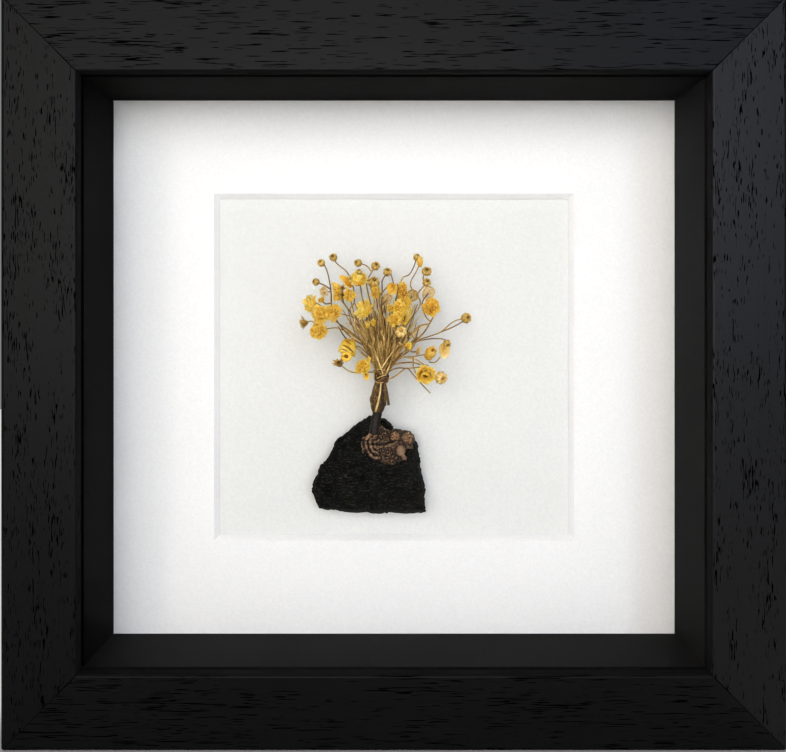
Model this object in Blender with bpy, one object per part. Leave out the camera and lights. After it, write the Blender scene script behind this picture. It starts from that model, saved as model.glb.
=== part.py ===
"""A deep black box frame that shows a tied bunch of small dried yellow flowers.

The bunch stands on a dark stone, its taped foot behind a flake of lichen bark.
+X is right, +Y is back and +Z is up, with the origin under the middle of the base.
Sizes below are in millimetres. A depth is measured back from the frame's front face.
"""

import math
import random

import bmesh
import bpy
from mathutils import Matrix, Vector, noise
from mathutils.bvhtree import BVHTree

MM = 0.001
GAP = 0.3

# Frame moulding
FRAME_W = 250.0
FRAME_H = 240.0
FRAME_D = 45.0
FACE_W = 24.2
WALL_W = 18.0
LIP_T = 4.0
OUTER_ROUND = 1.2
SIGHT_ROUND = 0.8
ROUND_STEPS = 4

# Flat layers behind the lip, each with its thickness
FIT = 0.3
PANE_T = 2.0
SPACER_FRONT = 6.6
SPACER_BACK = 35.7
MOUNT_FRONT = 36.0
MOUNT_T = 1.7
WINDOW_W = 129.5
WINDOW_H = 124.8
CARD_T = 1.5
PANEL_T = 2.5

# Steel on the back
TAB_W = 7.0
TAB_L = 13.0
TAB_T = 0.5
TAB_SPACING_W = 120.0
TAB_SPACING_H = 110.0
HANGER_W = 48.0
HANGER_H = 8.0
HANGER_T = 0.6
HANGER_Z = 208.0
HANGER_BOW = 1.0
TOOTH_PITCH = 2.5
TOOTH_H = 1.1
TEETH = 12
NAIL_X = 21.0
NAIL_HEAD_R = 1.6
NAIL_R = 0.6
NAIL_HOLE_R = 1.0

# The bunch is laid out as it is seen from in front: x and z are read on the plane
# PLAN_DEPTH behind the front face, from EYE_DISTANCE away at EYE_HEIGHT
PLAN_DEPTH = 25.0
EYE_DISTANCE = 267.0
EYE_HEIGHT = 136.1

# Stone: its outline from the top, clockwise, and its rings as (share of outline, depth)
STONE_BACK = 37.7
STONE_MIDDLE = (-8.0, 86.0)
STONE_OUTLINE = [
    (-7.7, 103.5), (-4.2, 102.6), (-1.1, 100.9), (-0.1, 99.0), (4.0, 98.3), (6.4, 97.2),
    (8.6, 93.2), (9.3, 88.6), (10.0, 82.7), (11.0, 77.7), (11.3, 70.1), (4.7, 69.3),
    (-1.5, 69.6), (-9.2, 69.7), (-17.0, 69.9), (-24.1, 70.9), (-27.9, 76.0), (-27.7, 80.5),
    (-25.4, 86.1), (-21.0, 91.7), (-19.2, 95.4), (-13.9, 99.6),
]
STONE_RINGS = [
    (0.93, STONE_BACK), (0.995, 35.2), (1.0, 32.0), (0.94, 28.8), (0.82, 26.6), (0.62, 25.4),
    (0.38, 24.9), (0.14, 24.7),
]
STONE_ROUGH = 0.3
STONE_SWELL = 1.8
STONE_BREAK = 6.0

# Lichen flake on the stone's shoulder, outline from the top left, anticlockwise
LICHEN_MIDDLE = (-1.8, 92.6)
LICHEN_OUTLINE = [
    (-8.1, 97.7), (-10.4, 94.8), (-10.7, 91.5), (-8.4, 89.2), (-5.4, 88.0), (-0.6, 86.3),
    (2.6, 87.4), (4.6, 89.0), (7.2, 92.0), (6.9, 96.4), (4.2, 98.1), (0.2, 98.8),
    (-2.7, 98.9), (-6.1, 98.0),
]
LICHEN_REACH = 26.6
LICHEN_RINGS = [(1.0, 1.9), (0.86, 2.7), (0.66, 2.2), (0.46, 3.1), (0.24, 2.6)]

# Foot of the bunch, and the bunch of stems as (z, x, half width, half depth)
BUNCH_DEPTH = 24.0
FOOT_PATH = [(-5.5, 104.3), (-6.0, 102.4), (-6.5, 99.0)]
FOOT_R = 1.5
TAPE_TURNS = 4
STEM_SECTIONS = [
    (104.7, -5.5, 1.55, 1.4), (106.3, -5.3, 2.6, 2.0), (108.7, -5.05, 3.1, 2.3),
    (112.4, -4.7, 2.75, 2.2), (114.3, -4.3, 1.6, 1.6), (119.6, -3.9, 1.6, 1.6),
    (121.4, -3.6, 3.4, 2.8), (125.4, -3.0, 6.0, 4.6),
]
FLUTES = 11
TIE_Z = (114.9, 119.1)
TIE_X = -4.1
TIE_WRAPS = 4

# Rows that the sprigs rise from at the top of the stems
FRONT, MIDDLE, BACK = 20.8, 24.0, 27.2
STEM_R = 0.42
FORK_R = 0.36
TIP_R = 0.32
STEM_SIDES = 5

# Heads as (share of half the width, share of the length) from the stem to the top
HEAD_RINGS = {
    "bud": [(0.0, -0.5), (0.7, -0.34), (1.0, 0.02), (0.62, 0.4), (0.26, 0.44), (0.0, 0.2)],
    "cup": [(0.0, -0.5), (0.55, -0.3), (1.0, 0.32), (0.76, 0.42), (0.4, 0.05), (0.0, -0.05)],
    "puff": [(0.0, -0.5), (0.72, -0.34), (1.0, 0.02), (0.74, 0.36), (0.0, 0.44)],
    "petal": [(0.0, -0.5), (0.6, -0.3), (1.0, 0.08), (0.66, 0.4), (0.0, 0.5)],
}
HEAD_SIDES = {"bud": 7, "cup": 10, "puff": 10, "petal": 8}
HEAD_LOBES = {"bud": 0.0, "cup": 0.13, "puff": 0.09, "petal": 0.0}
PETAL_FLAT = 0.34


def head(kind, width, length, aim, face):
    """A head's kind, its size, and where its axis points: aim is the angle up from +X, face the turn to the front."""
    return {"kind": kind, "width": width, "length": length, "aim": aim, "face": face}


def stem(points, tip, top=None, row=None):
    """A stem's (x, z) points, the depth of its tip, its head, and the row it rises from if it isn't a fork."""
    return {"points": points, "tip": tip, "head": top, "row": row}


SPRIGS = {
    "sprig_01": [
        stem([(-8.5, 126.1), (-14.4, 130.3), (-18.6, 134.8), (-21.0, 139.3), (-21.5, 142.5), (-21.6, 145.9),
              (-22.2, 150.2), (-23.4, 154.6), (-25.4, 156.7)], 22.0, head("bud", 2.6, 2.6, 125, 50), MIDDLE),
        stem([(-21.8, 147.1), (-24.2, 148.7), (-27.2, 149.8)], 21.5, head("bud", 2.5, 2.4, 165, 30)),
        stem([(-21.7, 146.2), (-24.5, 146.3)], 21.0, head("cup", 2.6, 2.4, 200, 40)),
        stem([(-21.5, 142.5), (-23.5, 142.1), (-24.9, 143.5)], 21.5, head("bud", 1.6, 2.0, 120, 20)),
    ],
    "sprig_02": [
        stem([(-6.1, 126.1), (-11.0, 132.4), (-15.0, 139.4), (-13.6, 142.6), (-13.9, 147.7), (-15.9, 152.9),
              (-19.5, 156.0), (-21.1, 158.6)], 26.0, head("bud", 2.6, 2.6, 115, 55), BACK),
        stem([(-15.0, 139.4), (-18.4, 144.0), (-19.5, 145.9)], 20.0, head("cup", 3.2, 7.0, 100, 25)),
        stem([(-14.2, 149.6), (-16.9, 150.5)], 24.0, head("petal", 3.0, 4.2, 150, 10)),
    ],
    "sprig_03": [
        stem([(-7.3, 126.1), (-14.6, 132.2), (-21.4, 137.2), (-25.7, 141.8), (-29.0, 142.2)], 18.6,
             head("cup", 4.4, 4.6, 195, 35), MIDDLE),
    ],
    "sprig_04": [
        stem([(-7.0, 126.1), (-9.6, 133.1), (-12.2, 136.8), (-17.5, 138.5), (-21.0, 139.0)], 15.0,
             head("puff", 5.6, 4.8, 160, 40), FRONT),
        stem([(-19.3, 138.8), (-25.6, 138.9)], 14.6, head("puff", 5.2, 5.0, 180, 35)),
    ],
    "sprig_05": [
        stem([(-6.6, 126.1), (-9.4, 131.3), (-12.9, 137.2), (-14.4, 141.8), (-15.2, 145.1)], 17.5,
             head("cup", 4.4, 5.4, 95, 50), 22.4),
    ],
    "sprig_06": [
        stem([(-5.0, 126.1), (-8.2, 136.6), (-10.6, 143.5), (-11.3, 147.7), (-12.1, 151.0)], 20.5,
             head("cup", 5.2, 5.2, 100, 30), MIDDLE),
        stem([(-11.9, 151.0), (-11.9, 153.4)], 19.5, head("bud", 1.8, 2.0, 90, 30)),
    ],
    "sprig_07": [
        stem([(-4.4, 126.1), (-6.8, 138.3), (-8.9, 146.3), (-9.1, 149.9), (-7.1, 153.9), (-6.2, 155.2)], 28.0,
             head("bud", 3.1, 2.9, 60, 50), BACK),
        stem([(-7.7, 153.2), (-8.9, 155.0), (-10.6, 155.8), (-12.4, 156.3)], 27.0, head("bud", 2.6, 2.6, 165, 45)),
    ],
    "sprig_08": [
        stem([(-3.4, 126.1), (-5.2, 136.6), (-5.7, 142.5), (-6.2, 145.9)], 21.5, head("puff", 3.5, 4.4, 100, 30),
             MIDDLE),
        stem([(-6.1, 144.9), (-7.8, 147.3), (-6.8, 149.5)], 23.5, head("petal", 3.8, 4.0, 80, 10)),
    ],
    "sprig_09": [
        stem([(-2.6, 126.1), (-4.0, 136.6), (-3.9, 147.4), (-3.8, 150.2), (-2.1, 153.3)], 27.5,
             head("bud", 3.0, 2.9, 75, 45), BACK),
        stem([(-3.7, 140.0), (-0.2, 147.0), (-0.7, 152.0), (-1.6, 153.0)], 28.5),
    ],
    "sprig_10": [
        stem([(-2.6, 126.1), (-4.0, 136.6), (-4.8, 144.3), (-3.7, 146.2), (-2.4, 147.7), (-0.6, 148.8),
              (-0.4, 147.0)], 18.0, head("petal", 3.0, 4.0, 270, 20), 22.4),
    ],
    "sprig_11": [
        stem([(-3.4, 126.1), (-1.8, 134.8), (-1.0, 140.5)], 17.0, head("puff", 2.8, 3.0, 80, 50), FRONT),
        stem([(-1.7, 134.6), (0.4, 142.0), (1.6, 147.1), (1.3, 149.1)], 13.5),
    ],
    "sprig_12": [
        stem([(-0.4, 126.1), (1.6, 134.8), (2.6, 142.5), (3.2, 146.3)], 18.0, head("cup", 4.2, 7.2, 100, 25), MIDDLE),
        stem([(2.6, 142.5), (5.0, 143.2), (6.4, 144.8)], 18.5, head("petal", 3.6, 3.2, 20, 10)),
    ],
    "sprig_13": [
        stem([(-0.8, 126.1), (1.2, 140.0), (2.8, 150.2), (5.4, 152.2), (6.9, 154.6), (8.2, 158.6)], 26.0,
             head("bud", 2.3, 2.4, 70, 40), BACK),
    ],
    "sprig_14": [
        stem([(0.8, 126.1), (4.8, 135.0), (9.4, 142.2), (6.5, 147.0), (6.0, 149.7), (8.0, 153.4), (9.4, 157.0)],
             23.5, head("bud", 2.5, 3.0, 75, 20), BACK),
        stem([(7.8, 144.7), (9.2, 146.7), (11.5, 149.7)], 22.5, head("bud", 2.9, 2.6, 60, 50)),
        stem([(10.6, 148.6), (10.3, 151.3), (11.5, 153.6)], 23.0, head("bud", 3.2, 2.6, 65, 50)),
    ],
    "sprig_15": [
        stem([(1.0, 126.1), (7.6, 129.6), (10.5, 132.1), (12.9, 135.9), (14.2, 138.8), (13.3, 141.0)], 18.0,
             head("puff", 5.9, 6.2, 95, 30), MIDDLE),
        stem([(12.9, 135.9), (11.2, 137.8), (9.9, 142.2), (12.1, 145.8)], 21.5, head("petal", 4.2, 4.2, 55, 10)),
        stem([(12.3, 135.2), (9.0, 134.4), (6.4, 131.7), (7.6, 129.6)], 22.1),
    ],
    "sprig_16": [
        stem([(-5.6, 126.1), (-6.6, 132.4), (-7.8, 137.2), (-10.1, 139.8)], 15.0, head("puff", 4.0, 5.4, 130, 35),
             FRONT),
        stem([(-7.3, 135.4), (-8.7, 134.6)], 16.5, head("puff", 2.0, 2.4, 220, 40)),
    ],
    "sprig_17": [
        stem([(-1.8, 126.1), (0.8, 133.1), (2.2, 139.3)], 14.0, head("puff", 6.3, 6.4, 75, 45), FRONT),
    ],
    "sprig_18": [
        stem([(0.4, 126.1), (2.3, 129.6), (2.7, 132.4)], 15.5, head("bud", 3.8, 3.4, 85, 60), FRONT),
        stem([(1.9, 128.8), (4.0, 127.2), (5.3, 127.6)], 18.0, head("petal", 2.2, 2.4, 10, 20)),
    ],
    "sprig_19": [
        stem([(2.0, 126.1), (7.6, 129.2), (12.9, 131.0), (16.5, 132.4), (20.9, 136.0), (25.4, 137.1)], 21.0,
             head("bud", 3.5, 3.3, 20, 50), BACK),
        stem([(16.5, 132.4), (20.9, 134.2), (25.4, 136.9)], 20.5),
    ],
    "sprig_20": [
        stem([(-8.2, 126.1), (-12.7, 130.3), (-17.2, 132.9), (-20.3, 133.8), (-26.0, 132.8)], 16.0,
             head("puff", 5.6, 6.2, 190, 40), FRONT),
        stem([(-25.2, 133.6), (-28.0, 136.0), (-31.2, 135.5)], 17.0, head("cup", 2.6, 3.0, 185, 10)),
    ],
    "sprig_21": [
        stem([(-8.3, 123.6), (-12.3, 127.4), (-15.8, 126.3)], 15.5, head("puff", 6.2, 8.0, 245, 25), 22.5),
    ],
    "sprig_22": [
        stem([(-7.05, 118.4), (-12.8, 118.2), (-15.9, 119.1), (-19.2, 121.9)], 18.5,
             head("cup", 3.1, 3.2, 140, 30), 23.5),
    ],
    "sprig_23": [
        stem([(-7.7, 121.9), (-10.6, 120.4)], 16.5, head("puff", 5.2, 5.4, 200, 35), 23.0),
        stem([(-10.3, 119.7), (-9.3, 117.0)], 17.5, head("petal", 1.8, 2.6, 280, 10)),
    ],
    "sprig_24": [
        stem([(1.7, 123.0), (5.4, 123.7), (8.5, 124.1), (13.1, 125.0)], 16.5, head("puff", 4.8, 4.8, 20, 45), 23.2),
    ],
    "sprig_25": [
        stem([(2.0, 126.4), (7.6, 128.9), (12.9, 130.0), (17.6, 129.8), (18.6, 128.3)], 20.0,
             head("bud", 2.6, 2.6, 300, 40), FRONT),
        stem([(18.5, 128.6), (17.6, 125.5)], 19.5, head("petal", 3.4, 5.0, 260, 10)),
    ],
    "sprig_26": [
        stem([(-0.2, 120.9), (5.0, 121.8), (7.6, 121.6), (10.3, 120.3), (11.2, 117.3)], 17.0,
             head("cup", 6.0, 5.2, 260, 60), 23.6),
        stem([(11.7, 117.4), (14.2, 117.3), (16.8, 116.4)], 18.0, head("cup", 4.4, 4.2, 330, 35)),
    ],
    "sprig_27": [
        stem([(-1.1, 116.2), (0.9, 117.3), (3.3, 119.1), (5.0, 119.7), (8.2, 116.0), (12.8, 111.1)], 22.0, None, 24.6),
        stem([(5.0, 119.7), (9.4, 120.2)], 24.0),
    ],
}


def spot(x, z, depth):
    """The place in metres that is seen at x and z on the plan when it lies at this depth."""
    spread = (EYE_DISTANCE + depth) / (EYE_DISTANCE + PLAN_DEPTH)
    return Vector((x * spread, depth - FRAME_D / 2, EYE_HEIGHT + (z - EYE_HEIGHT) * spread)) * MM


def clear_scene():
    for thing in list(bpy.data.objects):
        bpy.data.objects.remove(thing, do_unlink=True)


def material(name, color, roughness, metallic=0.0, alpha=1.0):
    made = bpy.data.materials.new(name)
    made.use_nodes = True
    shader = made.node_tree.nodes["Principled BSDF"]
    shader.inputs["Base Color"].default_value = (*color, 1.0)
    shader.inputs["Roughness"].default_value = roughness
    shader.inputs["Metallic"].default_value = metallic
    shader.inputs["Alpha"].default_value = alpha
    return made


def add_object(name, shape, finish, smooth=False):
    """A named object from a bmesh, with its faces turned outwards."""
    bmesh.ops.recalc_face_normals(shape, faces=shape.faces)
    mesh = bpy.data.meshes.new(name)
    shape.to_mesh(mesh)
    shape.free()
    mesh.materials.append(finish)
    if smooth:
        mesh.shade_smooth()
        mesh.set_sharp_from_angle(angle=math.radians(40))
    made = bpy.data.objects.new(name, mesh)
    bpy.context.scene.collection.objects.link(made)
    return made


def loft(shape, rings, close_start=True, close_end=True):
    """Skins a list of rings of points, each ring with as many points as the next, and closes both ends."""
    rows = [[shape.verts.new(point) for point in ring] for ring in rings]
    count = len(rows[0])
    for low, high in zip(rows, rows[1:]):
        for i in range(count):
            j = (i + 1) % count
            shape.faces.new((low[i], low[j], high[j], high[i]))
    if close_start:
        shape.faces.new(rows[0][::-1])
    if close_end:
        shape.faces.new(rows[-1])
    return rows


def box(name, x, z, depth, finish):
    """A square-edged board from ranges of x, z and depth."""
    shape = bmesh.new()
    corners = [(x[0], z[0]), (x[1], z[0]), (x[1], z[1]), (x[0], z[1])]
    rings = []
    for level in depth:
        rings.append([Vector((a, level - FRAME_D / 2, b)) * MM for a, b in corners])
    loft(shape, rings)
    return add_object(name, shape, finish)


def fuse(base, others, operation="UNION"):
    """Joins or cuts the base with each of the others, and leaves only the base."""
    for other in others:
        cut = base.modifiers.new("fuse", "BOOLEAN")
        cut.operation = operation
        cut.solver = "EXACT"
        cut.object = other
    graph = bpy.context.evaluated_depsgraph_get()
    mesh = bpy.data.meshes.new_from_object(base.evaluated_get(graph))
    base.modifiers.clear()
    base.data = mesh
    for other in others:
        bpy.data.objects.remove(other, do_unlink=True)
    return base


def rounded_corner(corner, radius, start_angle):
    """Points of a quarter circle that rounds a square corner, from start_angle on by 90 degrees."""
    points = []
    for i in range(ROUND_STEPS + 1):
        angle = math.radians(start_angle + 90 * i / ROUND_STEPS)
        points.append((corner[0] + radius * math.cos(angle), corner[1] + radius * math.sin(angle)))
    return points


def moulding_profile():
    """Section of the moulding as (distance in from the outer edge, depth)."""
    outer = rounded_corner((OUTER_ROUND, OUTER_ROUND), OUTER_ROUND, 180)
    sight = rounded_corner((FACE_W - SIGHT_ROUND, SIGHT_ROUND), SIGHT_ROUND, 270)
    back = [(FACE_W, LIP_T), (WALL_W, LIP_T), (WALL_W, FRAME_D), (0.0, FRAME_D)]
    return outer + sight + back


def moulding(name, length, place, finish):
    """One mitred side of the frame. place turns (along, inward) into (x, z)."""
    profile = moulding_profile()
    mitre = GAP / math.sqrt(2)
    rings = []
    for end in (-1, 1):
        ring = []
        for inward, depth in profile:
            x, z = place(end * (length / 2 - inward - mitre), inward)
            ring.append(Vector((x, depth - FRAME_D / 2, z)) * MM)
        rings.append(ring)
    shape = bmesh.new()
    loft(shape, rings)
    return add_object(name, shape, finish)


def build_frame(finish):
    middle = FRAME_H / 2
    moulding("rail_top", FRAME_W, lambda s, d: (s, FRAME_H - d), finish)
    moulding("rail_bottom", FRAME_W, lambda s, d: (s, d), finish)
    moulding("stile_left", FRAME_H, lambda s, d: (d - FRAME_W / 2, middle + s), finish)
    moulding("stile_right", FRAME_H, lambda s, d: (FRAME_W / 2 - d, middle + s), finish)


def build_layers(glass, black, board, card, hardboard):
    half_w = FRAME_W / 2 - WALL_W - FIT
    low = WALL_W + FIT
    high = FRAME_H - WALL_W - FIT
    wide = (-half_w, half_w)
    tall = (low, high)
    pane_front = LIP_T + GAP
    box("glass_pane", wide, tall, (pane_front, pane_front + PANE_T), glass)

    spacer_t = FACE_W - WALL_W - FIT
    deep = (SPACER_FRONT, SPACER_BACK)
    between = (low + spacer_t + GAP, high - spacer_t - GAP)
    box("spacer_top", wide, (high - spacer_t, high), deep, black)
    box("spacer_bottom", wide, (low, low + spacer_t), deep, black)
    box("spacer_left", (-half_w, spacer_t - half_w), between, deep, black)
    box("spacer_right", (half_w - spacer_t, half_w), between, deep, black)

    build_window_mount(wide, tall, board)
    card_front = MOUNT_FRONT + MOUNT_T + GAP
    box("backing_card", wide, tall, (card_front, card_front + CARD_T), card)
    panel_front = card_front + CARD_T + GAP
    panel = box("back_panel", wide, tall, (panel_front, panel_front + PANEL_T), hardboard)
    holes = [disc("hole", side * NAIL_X, HANGER_Z, NAIL_HOLE_R, (panel_front - 1, FRAME_D), hardboard)
             for side in (-1, 1)]
    fuse(panel, holes, "DIFFERENCE")
    return panel_front + PANEL_T


def build_window_mount(wide, tall, finish):
    """A board with a window whose edge is bevelled at 45 degrees."""
    middle = FRAME_H / 2

    def loop(half_w, half_h, depth):
        corners = [(-half_w, -half_h), (half_w, -half_h), (half_w, half_h), (-half_w, half_h)]
        return [Vector((x, depth - FRAME_D / 2, middle + z)) * MM for x, z in corners]

    back = MOUNT_FRONT + MOUNT_T
    outer_h = (tall[1] - tall[0]) / 2
    rings = [
        loop(wide[1], outer_h, back),
        loop(wide[1], outer_h, MOUNT_FRONT),
        loop(WINDOW_W / 2, WINDOW_H / 2, MOUNT_FRONT),
        loop(WINDOW_W / 2 - MOUNT_T, WINDOW_H / 2 - MOUNT_T, back),
    ]
    shape = bmesh.new()
    rows = loft(shape, rings, False, False)
    for i in range(4):
        j = (i + 1) % 4
        shape.faces.new((rows[3][i], rows[3][j], rows[0][j], rows[0][i]))
    return add_object("window_mount", shape, finish)


def disc(name, x, z, radius, depth, finish, sides=16):
    """A short round piece whose axis runs front to back."""
    rings = []
    for level in depth:
        ring = []
        for i in range(sides):
            angle = math.tau * i / sides
            ring.append(Vector((x + radius * math.cos(angle), level - FRAME_D / 2, z + radius * math.sin(angle))) * MM)
        rings.append(ring)
    shape = bmesh.new()
    loft(shape, rings)
    return add_object(name, shape, finish)


def retaining_tab(name, place, depth, finish):
    """A flat steel tab with a round end. place turns (along, inward) into (x, z)."""
    radius = TAB_W / 2
    outline = [(-radius, 0.0), (radius, 0.0)]
    for i in range(7):
        angle = math.pi * i / 6
        outline.append((radius * math.cos(angle), TAB_L - radius + radius * math.sin(angle)))
    rings = []
    for level in (depth, depth + TAB_T):
        rings.append([Vector((x, level - FRAME_D / 2, z)) * MM for x, z in (place(*point) for point in outline)])
    shape = bmesh.new()
    loft(shape, rings)
    return add_object(name, shape, finish)


def build_tabs(panel_back, steel):
    depth = panel_back + GAP
    edge = FRAME_W / 2 - WALL_W - GAP
    low = WALL_W + GAP
    high = FRAME_H - WALL_W - GAP
    middle = FRAME_H / 2
    for number, side in ((1, -0.5), (2, 0.5)):
        x = side * TAB_SPACING_W
        z = middle + side * TAB_SPACING_H
        retaining_tab(f"tab_top_{number}", lambda s, d: (x + s, high - d), depth, steel)
        retaining_tab(f"tab_bottom_{number}", lambda s, d: (x + s, low + d), depth, steel)
        retaining_tab(f"tab_left_{number}", lambda s, d: (d - edge, z + s), depth, steel)
        retaining_tab(f"tab_right_{number}", lambda s, d: (edge - d, z + s), depth, steel)


def build_hanger(panel_back, brass):
    """A sawtooth hanger bowed off the panel in the middle, and the two nails through its ends."""
    flat = panel_back + GAP
    half_teeth = TEETH * TOOTH_PITCH / 2
    columns = [(-HANGER_W / 2, 0.0, 0.0), (-half_teeth - 2.5, 0.0, 0.0)]
    for i in range(2 * TEETH + 1):
        columns.append((-half_teeth + i * TOOTH_PITCH / 2, TOOTH_H * (i % 2), HANGER_BOW))
    columns += [(half_teeth + 2.5, 0.0, 0.0), (HANGER_W / 2, 0.0, 0.0)]
    rings = []
    for x, notch, bow in columns:
        front = flat + bow - FRAME_D / 2
        low = HANGER_Z - HANGER_H / 2 + notch
        high = HANGER_Z + HANGER_H / 2
        corners = [(front, low), (front, high), (front + HANGER_T, high), (front + HANGER_T, low)]
        rings.append([Vector((x, y, z)) * MM for y, z in corners])
    shape = bmesh.new()
    loft(shape, rings)
    hanger = add_object("sawtooth_hanger", shape, brass)
    holes = [disc("hole", side * NAIL_X, HANGER_Z, NAIL_HOLE_R, (flat - 1, FRAME_D), brass) for side in (-1, 1)]
    fuse(hanger, holes, "DIFFERENCE")
    head_back = flat + HANGER_T + GAP
    for name, side in (("hanger_nail_left", 1), ("hanger_nail_right", -1)):
        x = side * NAIL_X
        nail = disc(name, x, HANGER_Z, NAIL_HEAD_R, (head_back, head_back + 0.7), brass)
        shank = disc("shank", x, HANGER_Z, NAIL_R, (panel_back - PANEL_T + 0.2, head_back + 0.3), brass, 10)
        fuse(nail, [shank])


def around(middle, outline, share):
    return [(middle[0] + (x - middle[0]) * share, middle[1] + (z - middle[1]) * share) for x, z in outline]


def halfway(outline):
    """The outline with a point added in the middle of each side."""
    points = []
    for i, (x, z) in enumerate(outline):
        after = outline[(i + 1) % len(outline)]
        points += [(x, z), ((x + after[0]) / 2, (z + after[1]) / 2)]
    return points


def build_stone(finish):
    """A flat-backed lump whose face swells forward in broken steps."""
    chance = random.Random(11)
    outline = halfway(STONE_OUTLINE)
    rings = []
    for share, depth in STONE_RINGS:
        ring = []
        for x, z in around(STONE_MIDDLE, outline, share):
            broken = 0.0 if depth == STONE_BACK else noise.noise(Vector((x, z, depth)) / STONE_BREAK)
            shift = chance.uniform(-STONE_ROUGH, STONE_ROUGH) * min(1.0, 1.6 - share)
            ring.append(spot(x + shift, z + shift * 0.5, depth + broken * STONE_SWELL))
        rings.append(ring)
    shape = bmesh.new()
    loft(shape, rings)
    return add_object("stone", shape, finish)


def build_lichen(stone, finish):
    """A ruffled flake whose back follows the stone's face, GAP away."""
    chance = random.Random(23)
    face = BVHTree.FromObject(stone, bpy.context.evaluated_depsgraph_get())
    forward = Vector((0.0, -1.0, 0.0))
    outline = halfway(LICHEN_OUTLINE)

    def stone_depth(x, z):
        start = spot(x, z, 10.0)
        hit = face.ray_cast(start, -forward)[0]
        return hit.y / MM + FRAME_D / 2 if hit else 30.0

    rings = [[spot(x, z, stone_depth(x, z) + 1.5) for x, z in around(LICHEN_MIDDLE, outline, 0.98)]]
    for share, thick in LICHEN_RINGS:
        ring = []
        for x, z in around(LICHEN_MIDDLE, outline, share):
            front = min(stone_depth(x, z), LICHEN_REACH) - thick
            ring.append(spot(x, z, front + chance.uniform(-0.25, 0.25)))
        rings.append(ring)
    shape = bmesh.new()
    loft(shape, rings)
    flake = add_object("lichen_flake", shape, finish)
    cutter = bpy.data.objects.new("cutter", stone.data.copy())
    middle = spot(*STONE_MIDDLE, STONE_BACK)
    swell = Matrix.Translation(middle) @ Matrix.Diagonal((1.02, 1.0, 1.02, 1.0)) @ Matrix.Translation(-middle)
    cutter.data.transform(Matrix.Translation(forward * 1.5 * GAP * MM) @ swell)
    bpy.context.scene.collection.objects.link(cutter)
    bpy.context.view_layer.update()
    return fuse(flake, [cutter], "DIFFERENCE")


def tube_rings(path, radii, sides):
    """Rings of points round a path, each square to the way the path runs there."""
    rings = []
    side = None
    for i, point in enumerate(path):
        ahead = path[min(i + 1, len(path) - 1)] - path[max(i - 1, 0)]
        ahead.normalize()
        if side is None:
            side = ahead.cross(Vector((0.0, 1.0, 0.0))).normalized()
        side = (side - ahead * side.dot(ahead)).normalized()
        up = ahead.cross(side)
        ring = []
        for k in range(sides):
            angle = math.tau * k / sides
            ring.append(point + (side * math.cos(angle) + up * math.sin(angle)) * radii[i] * MM)
        rings.append(ring)
    return rings


def build_foot(tape):
    """The taped foot of the bunch, a little fatter at each turn of the tape."""
    start = Vector((*FOOT_PATH[0], 0.0))
    bend = Vector((*FOOT_PATH[1], 0.0))
    end = Vector((*FOOT_PATH[2], 0.0))
    steps = TAPE_TURNS * 2
    path = []
    for i in range(steps + 1):
        t = i / steps
        place = start * (1 - t) ** 2 + bend * 2 * t * (1 - t) + end * t * t
        path.append(spot(place.x, place.y, BUNCH_DEPTH - 0.5 * t))
    radii = [FOOT_R + 0.1 * (i % 2) for i in range(steps + 1)]
    shape = bmesh.new()
    loft(shape, tube_rings(path, radii, 12))
    return add_object("taped_foot", shape, tape, True)


def build_stem_bunch(straw):
    """The pressed stems from their cut ends through the tie to where they spread, with a flute for each stem."""
    rings = []
    for z, x, half_w, half_d in STEM_SECTIONS:
        ring = []
        for i in range(2 * FLUTES):
            angle = math.tau * i / (2 * FLUTES)
            flute = 1.0 if i % 2 else 0.86
            cosine, sine = math.cos(angle), math.sin(angle)
            square = (abs(cosine) ** 3 + abs(sine) ** 3) ** (-1 / 3)
            reach = flute * (1.0 + (square - 1.0) * min(1.0, half_w / 6.0))
            ring.append(spot(x + half_w * reach * cosine, z, BUNCH_DEPTH + half_d * reach * sine))
        rings.append(ring)
    shape = bmesh.new()
    loft(shape, rings)
    return add_object("stem_bunch", shape, straw)


def build_tie(fibre):
    """Wraps of fibre round the waist of the bunch."""
    low, high = TIE_Z
    pitch = (high - low) / TIE_WRAPS
    profile = [(1.95, low), (2.2, low)]
    for wrap in range(TIE_WRAPS):
        base = low + wrap * pitch
        profile.append((2.5, base + pitch / 2))
        profile.append((2.2, base + pitch))
    profile.append((1.95, high))
    sides = 14
    shape = bmesh.new()
    rings = []
    for i in range(sides):
        angle = math.tau * i / sides
        ring = []
        for radius, z in profile:
            ring.append(spot(TIE_X + radius * math.cos(angle), z, BUNCH_DEPTH + radius * math.sin(angle)))
        rings.append(ring)
    rings.append(rings[0])
    loft(shape, rings, False, False)
    bmesh.ops.remove_doubles(shape, verts=shape.verts, dist=1e-7)
    return add_object("tie", shape, fibre)


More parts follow.
